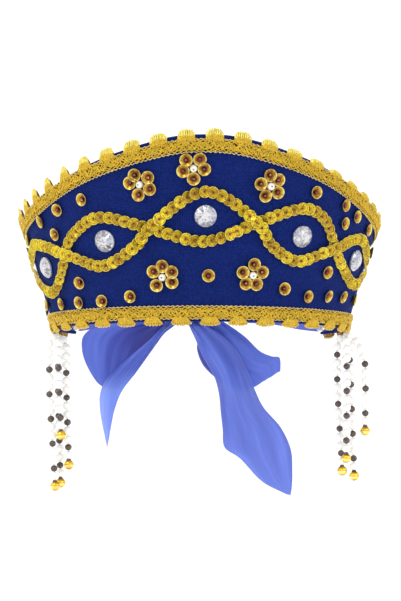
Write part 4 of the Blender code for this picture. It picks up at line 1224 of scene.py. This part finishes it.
LEFT_TAIL = [
    # left edge along, up, depth, right edge along, up, depth, fold depth
    (-0.250, -0.200, -0.04, -0.132, -0.150, -0.06, -0.04),
    (-0.430, -0.350, -0.05, -0.200, -0.240, -0.10, -0.08),
    (-0.560, -0.480, -0.05, -0.345, -0.445, -0.15, -0.10),
    (-0.610, -0.590, -0.05, -0.450, -0.585, -0.19, -0.09),
    (-0.615, -0.700, -0.04, -0.503, -0.722, -0.22, -0.07),
    (-0.595, -0.835, -0.03, -0.530, -0.850, -0.22, -0.05),
    (-0.560, -1.000, -0.01, -0.545, -0.930, -0.20, -0.03),
]
RIGHT_TAIL = [
    # left edge along, up, depth, right edge along, up, depth, fold depth
    (0.075, -0.145, -0.04, 0.200, -0.110, -0.04, -0.05),
    (0.115, -0.240, -0.05, 0.290, -0.195, -0.05, -0.09),
    (0.175, -0.345, -0.05, 0.350, -0.300, -0.06, -0.10),
    (0.202, -0.440, -0.05, 0.397, -0.419, -0.07, -0.09),
    (0.212, -0.540, -0.05, 0.446, -0.520, -0.07, -0.07),
    (0.223, -0.640, -0.04, 0.540, -0.628, -0.06, -0.05),
    (0.234, -0.738, -0.03, 0.597, -0.750, -0.05, -0.03),
    (0.320, -0.800, -0.03, 0.606, -0.870, -0.04, -0.02),
    (0.440, -0.925, -0.02, 0.604, -0.950, -0.03, -0.01),
    (0.575, -0.995, -0.01, 0.598, -1.000, -0.02, 0.00),
]
SWELLS = {
    # depth of the pleats at each row, in tenths of a millimetre
    "tie": [1, 1, 1, 3, 4, 5, 6, 6],
    "left loop": [9, 9, 6, 4, 3, 3, 2, 2, 2, 3, 3, 4, 6, 9, 9],
    "right loop": [8, 8, 5, 3, 2, 1, 1, 1, 2, 3, 5, 8, 8],
    "left tail": [6, 5, 4, 2, 1, 1, 1, 1],
    "right tail": [6, 5, 3, 2, 2, 1, 1, 1, 1, 1, 1],
}
knot_back = RIM_HALF_DEPTH + GAP + (RIBBON_THICKNESS + KNOT_DEPTH) / 2
knot_middle = np.array([-KNOT_OFF_CENTRE, knot_back, KNOT_RISE])

# Satin shows long floats of bright yarn down its length: a soft painted sheen in streaks, and a light that
# shines through. The streaks are 8 mm wide and 60 mm long.
periwinkle_satin, tree, shader = finish("periwinkle polyester satin, half sheer", Roughness=0.45,
                                        Sheen_Weight=0.2, Sheen_Roughness=0.3, Sheen_Tint="#a9b8ff",
                                        Alpha=0.84, Specular_IOR_Level=0.3)
place = node(tree, "ShaderNodeUVMap", {"uv_map": "cloth"})
stretched = node(tree, "ShaderNodeMapping", {"Scale": (120.0, 16.0, 1.0)}, {"Vector": place})
streaks = node(tree, "ShaderNodeTexNoise", {"Scale": 1.0, "Detail": 3.0}, {"Vector": stretched})
coords = node(tree, "ShaderNodeTexCoord").outputs["Object"]
drift = node(tree, "ShaderNodeTexNoise", {"Scale": 26.0, "Detail": 2.0}, {"Vector": coords})
across = node(tree, "ShaderNodeSeparateXYZ", {}, {0: place})
turns = node(tree, "ShaderNodeMath", {"operation": "MULTIPLY", 1: 2 * pi / YARN_PITCH}, {0: across})
yarn = node(tree, "ShaderNodeMath", {"operation": "SINE"}, {0: turns})
sheer = node(tree, "ShaderNodeValToRGB", {"stops": [(0.32, "#3f50b4"), (0.5, "#4c64c8"), (0.68, "#617ade")]},
             {0: streaks})
patchy = node(tree, "ShaderNodeMath", {"operation": "MULTIPLY", 1: 0.4}, {0: drift})
drifted = node(tree, "ShaderNodeMix", {**MIXED, 7: "#5c56b0"}, {0: patchy, 6: sheer})
# Painted light where the shading is above nought, and a purple painted shade where it is below
tint = node(tree, "ShaderNodeAttribute", {"attribute_name": "tint"}).outputs["Fac"]
light = node(tree, "ShaderNodeMath", {"operation": "MAXIMUM", 1: 0.0}, {0: tint})
lit = node(tree, "ShaderNodeMix", {**MIXED, 7: "#7b98fa"}, {0: light, 6: drifted})
turned_down = node(tree, "ShaderNodeMath", {"operation": "MULTIPLY", 1: -1.0}, {0: tint})
shadow = node(tree, "ShaderNodeMath", {"operation": "MAXIMUM", 1: 0.0}, {0: turned_down})
shaded_satin = node(tree, "ShaderNodeMix", {**MIXED, 7: "#3c3282"}, {0: shadow, 6: lit})
# The woven edges are lighter: partly the edge's own weave, partly a painted highlight along it
aside = node(tree, "ShaderNodeMath", {"operation": "ABSOLUTE"}, {0: across})
edge = node(tree, "ShaderNodeMath", {"operation": "GREATER_THAN", 1: RIBBON_WIDTH / 2 - 0.0009}, {0: aside})
woven = node(tree, "ShaderNodeMath", {"operation": "MULTIPLY", 1: 0.12}, {0: edge})
satin = node(tree, "ShaderNodeMix", {**MIXED, 7: "#8d9bee"}, {0: woven, 6: shaded_satin})
ribs = node(tree, "ShaderNodeMath", {"operation": "MULTIPLY", 1: 0.3}, {0: yarn})
height = node(tree, "ShaderNodeMath", {"operation": "ADD"}, {0: ribs, 1: streaks})
raised = node(tree, "ShaderNodeBump", {"Strength": 0.35, "Distance": 0.0002}, {"Height": height})
link(shader, {"Base Color": satin, "Normal": raised})


def by_knot(direction):
    """Point just clear of the knot's surface in a direction from its middle."""
    way = np.array(direction, float)
    way /= np.linalg.norm(way)
    reach = 1 / np.linalg.norm(way / (np.array([KNOT_WIDTH, KNOT_DEPTH, KNOT_HEIGHT]) / 2))
    return knot_middle + way * (reach + GAP + RIBBON_THICKNESS / 2)


def thickened(piece):
    """Gives a skin of satin its real thickness."""
    wall = piece.modifiers.new("thickness", "SOLIDIFY")
    wall.thickness = SATIN_THICKNESS
    wall.offset = 0


def ribbon(name, rows, swell, solid, shade, width=RIBBON_WIDTH, pleats=4.0,
           seed=1):
    """A ribbon through rows across it, gathered into pleats of a depth that is given at each row.

    The shade gives each point's painted light and shade from its shares of the way down the ribbon and across
    it.
    """
    grid = spline(rows, 8)
    swells = spline(0.0001 * np.array(SWELLS[swell])[:, None], 8)
    columns = np.linspace(0, 1, grid.shape[1])
    normal = np.cross(np.gradient(grid, axis=0), np.gradient(grid, axis=1))
    normal /= np.maximum(np.linalg.norm(normal, axis=2, keepdims=True), 1e-12)
    chance = random.Random(seed)
    way, across = np.meshgrid(np.linspace(0, 1, len(grid)), columns, indexing="ij")
    wave = 0 * way
    for k in range(3):
        count = pleats * (0.6 + 0.5 * k)
        start, drift = chance.random(), 0.35 * way * chance.uniform(-1, 1)
        wave += np.sin(2 * pi * (across * count + start + drift)) / (1.2 + 0.8 * k)
    grid = grid + normal * (wave * np.abs(swells))[..., None]
    uv = np.stack(np.meshgrid((columns - 0.5) * width, run_lengths(grid.mean(1))), -1)
    piece = skin(name, grid, uv, periwinkle_satin, tint=shade(way, across))
    thickened(piece)
    attach(piece, "satin_ribbon", solid)
    return piece


def tie_rows(hand, places):
    """Rows of a tie from inside the crown's back corner round to the front of the knot."""
    corner = np.interp(WRAP_ANGLE, rim_turns, rim_lengths) / HALF_LENGTH
    rows = []
    for step in range(3):
        along = hand * (corner - TIE_OVERLAP / HALF_LENGTH * (1 - step / 2))
        inset = -WALL - GAP - RIBBON_THICKNESS
        rows.append(on_crown(np.full(len(places), along), TIE_START_RISE + TIE_WIDTH * places, inset))
    final = pi - hand * asin(knot_middle[0] / RIM_HALF_WIDTH)
    for way, low, high in TIE:
        turn = WRAP_ANGLE + (final - WRAP_ANGLE) * way
        inset = (WALL + GAP + RIBBON_THICKNESS) * (1 - way)
        level = np.array([hand * sin(turn), -cos(turn), 0])
        height = TIE_WIDTH * (low + (high - low) * places)
        spot = level * np.array([RIM_HALF_WIDTH - inset, RIM_HALF_DEPTH - inset, 0])
        rows.append(spot + np.outer(height, level * sin(FLARE_ANGLE) * (1 - way) + np.array([0, 0, 1.0])))
    rises = KNOT_GRIP_SHARE * (2 * places - 1)
    rows.append([by_knot((hand * KNOT_GRIP_SHARE / 2, -1, rise)) for rise in rises])
    return np.array(rows)


def loop_rows(hand, table, drop, places):
    """Rows of a loop: out from the knot in front, round its fold and back to the knot behind."""
    rises = [KNOT_GRIP_SHARE * (2 * place - 1) for place in places]
    front = [[by_knot((hand, 0, rise)) for rise in rises]]
    back = [[by_knot((hand, KNOT_GRIP_SHARE, rise)) for rise in rises]]
    for left_along, left_up, right_along, right_up, depth, opening in table:
        left = np.array([left_along, depth, left_up]) * drop
        right = np.array([right_along, depth, right_up]) * drop
        for rows, sense in ((front, -1), (back, 1)):
            bulge = sense * opening * (1 + np.sin(pi * places)) / 2 * drop
            rows.append(knot_middle + left + np.outer(places, right - left) + np.outer(bulge, [0, 1, 0]))
    return np.array(front + back[-2::-1])


def tail_rows(hand, table, drop, places):
    """Rows of a hanging end with one soft lengthwise fold."""
    sides = (0.6 + 1.9 * places[::hand]) * hand
    rows = [[by_knot((side, -0.25, -1)) for side in sides]]
    for left_along, left_up, left_depth, right_along, right_up, right_depth, fold in table:
        left = np.array([left_along, left_depth, left_up]) * drop
        right = np.array([right_along, right_depth, right_up]) * drop
        sag = fold * np.sin(pi * places) * drop
        rows.append(knot_middle + left + np.outer(places, right - left) + np.outer(sag, [0, 1, 0]))
    return np.array(rows)


def hump(value, middle, reach):
    """A soft rise to 1 at the middle that ends at the reach on both sides."""
    return (1 + np.cos(pi * np.clip(np.abs(value - middle) / reach, 0, 1))) / 2


def left_loop_shade(way, across):
    return 0.25 * hump(across, 0.1, 0.3) - 0.75 * hump(across, 1.0, 0.75) * hump(way, 0.16, 0.3)


def right_loop_shade(way, across):
    return 0.3 - 0.8 * hump(across, 0, 0.5) * hump(way, 0.2, 0.3)


def left_tail_shade(way, across):
    return 0.1 + 0.85 * np.clip((way - 0.4) / 0.2, 0, 1)


def right_tail_shade(way, across):
    return 0.1 + 0.35 * way ** 3 + 0.2 * hump(across, 0.35, 0.2) * hump(way, 0.2, 0.25)


def bow():
    places = np.linspace(0, 1, 41)
    for side, hand in (("left", -1), ("right", 1)):
        # Each tie gets a painted shade toward the knot
        ribbon(f"satin_tie_{side}", tie_rows(hand, places), "tie", f"tie_{side}",
               lambda way, across: -0.25 * hump(way, 1, 0.4), width=TIE_WIDTH * 1.1, pleats=2.2,
               seed=30 + hand)
    ribbon("satin_loop_left", loop_rows(-1, LEFT_LOOP, LEFT_LOOP_DROP, places), "left loop",
           "bow_loop_left", left_loop_shade, seed=33)
    ribbon("satin_loop_right", loop_rows(1, RIGHT_LOOP, RIGHT_LOOP_DROP, places), "right loop",
           "bow_loop_right", right_loop_shade, seed=34)
    ribbon("satin_tail_left", tail_rows(-1, LEFT_TAIL, LEFT_TAIL_DROP, places), "left tail",
           "bow_tail_left", left_tail_shade,
           seed=35)
    ribbon("satin_tail_right", tail_rows(1, RIGHT_TAIL, RIGHT_TAIL_DROP, places), "right tail",
           "bow_tail_right", right_tail_shade,
           seed=36)


def knot():
    """The ribbon once round the middle of the bow, gathered into folds, a closed band with rolled edges."""
    turns = np.linspace(0, 2 * pi, 73)
    wide = np.linspace(-0.985, 0.985, 49)
    grid = []
    for share in wide:
        slim = (1 - abs(share) ** 2.6) ** (1 / 2.6)
        fold = 0.00055 * np.sin(share * 16 + 0.7 * np.sin(turns)) * slim ** 0.5
        twist = 0.0006 * np.sin(turns) * (1 - share ** 2)
        grid.append(np.stack([knot_middle[0] + share * KNOT_WIDTH / 2 + twist,
                              knot_middle[1] + (KNOT_DEPTH / 2 * slim + fold) * np.cos(turns),
                              knot_middle[2] + (KNOT_HEIGHT / 2 * slim + fold) * np.sin(turns)], -1))
    grid = np.array(grid)
    uv = np.stack(np.meshgrid(turns * 0.0068, wide * 0.012), -1)[..., ::-1]
    # An even painted shade over the whole knot
    piece = skin("satin_knot", grid, uv, periwinkle_satin, tint=-0.2 + 0 * grid[..., 0])
    thickened(piece)
    attach(piece, "satin_ribbon", "bow_knot")
    return piece


bow()
knot()

# Buttons
# Clear plastic buttons with a raised rim and a shallow dish. Each is sewn with white thread through the tie's
# end into the back corner.
BUTTON_RADIUS = 0.0046
BUTTON_HEIGHT = 0.0029
BUTTON_PROFILE = [
    # shares of the radius and the height, from the back over the rim into the dish
    (0.0, 0.0),
    (0.80, 0.0),
    (0.97, 0.10),
    (1.0, 0.35),
    (0.97, 0.62),
    (0.88, 0.82),
    (0.76, 0.78),
    (0.60, 0.66),
    (0.42, 0.60),
    (0.20, 0.60),
    (0.0, 0.60),
]
SEWING_THREAD = 0.00035
TWIST_PITCH = 0.0006

# Moulded plastic, clear and glossy, a little yellowed in soft flows of 4 mm
clear_plastic, tree, shader = finish("clear moulded plastic, a little yellowed", Roughness=0.12,
                                     Transmission_Weight=0.75, IOR=1.49)
coords = node(tree, "ShaderNodeTexCoord").outputs["Object"]
flow = node(tree, "ShaderNodeTexNoise", {"Scale": 240.0, "Detail": 2.0}, {"Vector": coords})
yellowed = node(tree, "ShaderNodeValToRGB", {"stops": [(0.3, "#efe9d6"), (0.7, "#fbf9f0")]}, {0: flow})
link(shader, {"Base Color": yellowed})

# White polyester sewing thread, twisted, with painted shade in the grooves of the twist
white_thread, tree, shader = finish("white polyester thread", Roughness=0.55)
run = node(tree, "ShaderNodeAttribute", {"attribute_name": "thread_length"}).outputs["Fac"]
turns = node(tree, "ShaderNodeMath", {"operation": "MULTIPLY", 1: 2 * pi / TWIST_PITCH}, {0: run})
ply = node(tree, "ShaderNodeMath", {"operation": "SINE"}, {0: turns})
height = node(tree, "ShaderNodeMath", {"operation": "MULTIPLY_ADD", 1: 0.5, 2: 0.5}, {0: ply})
thread = node(tree, "ShaderNodeValToRGB", {"stops": [(0.0, "#cfcabb"), (1.0, "#f4f1e8")]}, {0: height})
raised = node(tree, "ShaderNodeBump", {"Strength": 0.5, "Distance": 0.0001}, {"Height": ply})
link(shader, {"Base Color": thread, "Normal": raised})


def button(name, hand):
    """A button with a raised rim, a shallow dish and its crossed stitches, its face toward the head."""
    along = hand * (1 - (BUTTON_RADIUS + WALL / 3) / HALF_LENGTH)
    rim, right, up, out = crown_axes(along)
    centre = on_crown(along, BUTTON_RADIUS, -WALL - 2 * GAP - 1.5 * RIBBON_THICKNESS)
    profile = [(BUTTON_RADIUS * wide, BUTTON_HEIGHT * high) for wide, high in BUTTON_PROFILE]
    blank = turned(f"{name} profile", profile, 40, clear_plastic)
    mesh = blank.data
    places = np.array([v.co[:] for v in mesh.vertices]) @ np.array([right, -up, -out]) + centre
    mesh.vertices.foreach_set("co", places.ravel())
    mesh.update()
    bpy.data.objects.remove(blank)
    attach(shown(f"clear_{name}", mesh), "clear_button", f"ribbon_{name}")
    lines = []
    for k in (-1, 1):
        u = np.linspace(-1, 1, 9)[:, None]
        bow = 0.6 * BUTTON_HEIGHT + 0.0004 * np.cos(u * pi / 2)
        lines.append(centre + u * 0.0012 * (right + k * up) - bow * out)
    attach(cords(f"{name}_stitches", lines, SEWING_THREAD, 5, white_thread), "clear_button")


button("button_left", -1)
button("button_right", 1)

# Bead strands
# Four strands a side, knotted to the rim at the temples. Each is a white thread of glass beads: two white
# pearls, then a smaller dark brown one, over and over, and pearls alone near the rim. A gold pearl ends it,
# under a tiny dark bead that stops it.
BEAD_DIAMETER = 0.005
END_BEAD_DIAMETER = 0.0068
THREAD_LENGTH = 0.0026
THREAD_SPREAD = 0.0018
STRAND_DROP = 0.0937
STRAND_ANGLE = radians(86)
STRAND_MIDDLE_SHARE = 0.4
PLAIN_TOP = 0.020
BARE_TOP = 0.0055
STRAND_THREAD = 0.0005
PEARL, BROWN, GOLD, STOP = 0.0053, 0.0043, 0.0062, 0.0031
FOOT_ORDER = ["gold", "stop", "pearl", "brown"]
STRAND_ORDER = ["pearl", "pearl", "brown"]
STRANDS = {
    "left": [
        # drop, out and back at top, out and back at middle, out and back at foot
        (1.00, 0.95, 0.00, 0.85, -0.10, 0.10, -0.55),
        (0.679, -0.15, -0.90, -0.25, -1.00, -0.60, -1.20),
        (0.865, -1.05, 0.00, -1.15, 0.00, -1.50, 0.10),
        (0.979, -0.10, 1.00, -0.15, 1.05, -0.50, 0.95),
    ],
    "right": [
        # drop, out and back at top, out and back at middle, out and back at foot
        (0.823, 0.20, -0.90, 0.25, -0.90, 0.15, -0.90),
        (0.648, 1.35, -0.20, 2.60, -0.10, 2.50, 0.00),
        (0.935, 0.50, 0.65, 0.90, 0.60, 1.20, 0.30),
        (0.902, -0.80, 0.10, -0.80, 0.20, -0.20, 0.60),
    ],
}

# Brown glass, almost black, with a soft grey light on it
brown_glass, tree, shader = finish("dark brown glass", Roughness=0.2, Coat_Weight=0.5)
coords = node(tree, "ShaderNodeTexCoord").outputs["Object"]
swirl = node(tree, "ShaderNodeTexNoise", {"Scale": 420.0, "Detail": 2.0}, {"Vector": coords})
glass = node(tree, "ShaderNodeValToRGB", {"stops": [(0.3, "#2e1f14"), (0.7, "#554032")]}, {0: swirl})
link(shader, {"Base Color": glass})

# Gold pearl: metallised plastic, bright and smooth, with faint dents, and painted reflections in bands round it
gold_pearl, tree, shader = finish("gold metallised bead", Roughness=0.22, Metallic=0.6)
coords = node(tree, "ShaderNodeTexCoord").outputs["Object"]
dents = node(tree, "ShaderNodeTexNoise", {"Scale": 300.0, "Detail": 2.0}, {"Vector": coords})
rise = node(tree, "ShaderNodeAttribute", {"attribute_name": "rise"}).outputs["Fac"]
# Painted reflections up the bead: a painted highlight low down, a darker belt round the middle and a dark
# painted reflection over the top
painted_reflections = node(tree, "ShaderNodeValToRGB",
             {"stops": [(0.0, "#b8780c"), (0.2, "#f6dc60"), (0.42, "#fff0a0"), (0.5, "#d89a14"),
                        (0.62, "#ffe24a"), (0.80, "#f0bc20"), (0.90, "#6a3a06"), (1.0, "#3a1c04")]},
             {0: rise})
worn = node(tree, "ShaderNodeValToRGB", {"stops": [(0.3, "#d8b860"), (0.6, "#ffffff")]}, {0: dents})
gilt = node(tree, "ShaderNodeMix", {**MULTIPLIED, 0: 0.7}, {6: painted_reflections, 7: worn})
link(shader, {"Base Color": gilt})


def strand_line(hand, rank, row):
    """The thread of one strand, from the rim to the foot of its end bead."""
    along = hand * np.interp(STRAND_ANGLE, rim_turns, rim_lengths) / HALF_LENGTH
    rim, right, up, out = crown_axes(along)
    gather = on_crown(along, 0, -WALL / 2)
    length = row[0] * STRAND_DROP - THREAD_LENGTH
    top, middle, foot = [np.array([hand * row[k], row[k + 1], 0]) * BEAD_DIAMETER for k in (1, 3, 5)]
    points = [gather + right * hand * rank * THREAD_SPREAD + up * 0.001]
    points.append(gather + right * hand * rank * THREAD_SPREAD - np.array([0, 0, THREAD_LENGTH]))
    for share in np.linspace(BEAD_DIAMETER / length, 1 + 0.4 * END_BEAD_DIAMETER / length, 40):
        if share < STRAND_MIDDLE_SHARE:
            drift = top + (middle - top) * sin(pi / 2 * share / STRAND_MIDDLE_SHARE)
        else:
            drift = middle + (foot - middle) * (share - STRAND_MIDDLE_SHARE) / (1 - STRAND_MIDDLE_SHARE)
        points.append(gather + drift - np.array([0, 0, THREAD_LENGTH + length * share]))
    return np.array(points)


def bead_strands():
    kinds = {"pearl": (PEARL, white_pearl), "brown": (BROWN, brown_glass), "gold": (GOLD, gold_pearl),
             "stop": (STOP, brown_glass)}
    strung = {kind: [[], []] for kind in kinds}
    threads = []
    for side, hand in (("left", -1), ("right", 1)):
        rows = STRANDS[side]
        backs = sorted(range(len(rows)), key=lambda k: rows[k][2])
        for k, row in enumerate(rows):
            line = strand_line(hand, backs.index(k) - (len(rows) - 1) / 2, row)
            threads.append(line[:-1])
            lengths = run_lengths(line)
            place, last = lengths[-1] - GOLD / 2, None
            order = itertools.chain(FOOT_ORDER, itertools.cycle(STRAND_ORDER))
            while place > BARE_TOP:
                kind = next(order)
                if kind == "brown" and place < PLAIN_TOP:
                    kind = "pearl"
                if kind == "stop":
                    place -= 0.40 * GOLD
                elif last == "stop":
                    place -= 0.10 * GOLD + PEARL / 2
                elif last:
                    place -= (kinds[last][0] + kinds[kind][0]) / 2 * 0.99
                if place < BARE_TOP:
                    break
                here, below = [np.array([np.interp(run, lengths, column) for column in line.T])
                               for run in (place, place + 0.002)]
                strung[kind][0].append(here)
                strung[kind][1].append(here - below)
                last = kind
    nodes = [f"bead_strand_{side}_{k}" for side in ("left", "right") for k in range(1, 5)]
    for seed, (kind, (diameter, look)) in enumerate(kinds.items(), 40):
        spots, ways = [np.array(values) for values in strung[kind]]
        ball = bead(kind, diameter, look, 0.2, 0.96, 16, 9)
        level = ways * 0 + [[1, 0, 0]]
        row = sewn(f"strand_{kind}_beads", spots, ways, level, ball, look, 0.0, 0.12, 0.06, seed)
        attach(row, "pearl_bead", *(nodes if kind == "pearl" else []))
    attach(cords("strand_threads", threads, STRAND_THREAD, 6, white_thread), "pearl_bead")


bead_strands()

# Studio
# A white cove all round, a large soft light on each side and one above, and the camera of the photograph: a
# long lens a little below the rim, nearly square on.
COVE_FLOOR = -0.165
COVE_RADIUS = 2.2
COVE_TOP = 3.0
LIT_POINT = Vector((0, 0, 0.02))
PICTURE_HEIGHT_IN_PIXELS = 601
CENTRE_TO_RIGHT_IN_PIXELS = 0.2
CENTRE_UP_IN_PIXELS = 30.5
CAMERA_DISTANCE = 1.5
CAMERA_RISE = radians(-3.8)
CAMERA_TURN = radians(-1.7)
FOCAL_LENGTH = 149.75

# Matt white paper, lit a little from within so that it stays white all round, with a very faint mottle
cove_paper, tree, shader = finish("white cove paper", Roughness=0.9, Emission_Strength=0.26,
                                  Emission_Color="#ffffff")
coords = node(tree, "ShaderNodeTexCoord").outputs["Object"]
mottle = node(tree, "ShaderNodeTexNoise", {"Scale": 2.0}, {"Vector": coords})
paper = node(tree, "ShaderNodeValToRGB", {"stops": [(0.3, "#f4f4f4"), (0.7, "#f7f7f7")]}, {0: mottle})
link(shader, {"Base Color": paper})


def cove():
    bend = [(COVE_RADIUS + sin(angle), 1 - cos(angle)) for angle in np.linspace(0.15, 1.45, 12)]
    profile = [(0.0, 0.0), (COVE_RADIUS, 0.0), *bend, (COVE_RADIUS + 1.05, COVE_TOP)]
    base = turned("cove", [(radius, COVE_FLOOR + height) for radius, height in profile], 64, cove_paper)
    bpy.context.scene.collection.objects.link(base)
    base.data.shade_smooth()


def light(name, place, size, power, shade):
    made = bpy.data.lights.new(name, "AREA")
    made.shape = "DISK"
    made.size = size
    made.energy = power
    made.color = colour(shade)[:3]
    lamp = bpy.data.objects.new(name, made)
    lamp.location = place
    lamp.rotation_euler = (LIT_POINT - Vector(place)).to_track_quat("-Z", "Y").to_euler()
    bpy.context.scene.collection.objects.link(lamp)


cove()
light("key", (-0.9, -1.2, 1.4), 0.6, 13, "#fffaf2")
light("fill", (1.3, -1.1, 0.7), 1.0, 5, "#f4f7ff")
light("top", (0.1, 0.5, 1.7), 1.2, 8, "#ffffff")
light("back", (-0.4, 1.5, 0.9), 1.0, 6, "#ffffff")

world = bpy.data.worlds.new("soft daylight")
world.use_nodes = True
world.node_tree.nodes["Background"].inputs["Color"].default_value = colour("#f4f7ff")
world.node_tree.nodes["Background"].inputs["Strength"].default_value = 0.55
bpy.context.scene.world = world
bpy.context.scene.view_settings.view_transform = "Standard"

lens = bpy.data.cameras.new("camera")
lens.lens = FOCAL_LENGTH
lens.shift_x = CENTRE_TO_RIGHT_IN_PIXELS / PICTURE_HEIGHT_IN_PIXELS
lens.shift_y = CENTRE_UP_IN_PIXELS / PICTURE_HEIGHT_IN_PIXELS
lens.clip_start = 0.01
camera = bpy.data.objects.new("camera", lens)
back = Vector((sin(CAMERA_TURN) * cos(CAMERA_RISE), -cos(CAMERA_TURN) * cos(CAMERA_RISE), sin(CAMERA_RISE)))
side = Vector((cos(CAMERA_TURN), sin(CAMERA_TURN), 0))
axes = Matrix((side, back.cross(side), back)).transposed()
camera.matrix_world = Matrix.Translation(back * CAMERA_DISTANCE) @ axes.to_4x4()
bpy.context.scene.collection.objects.link(camera)
bpy.context.scene.camera = camera
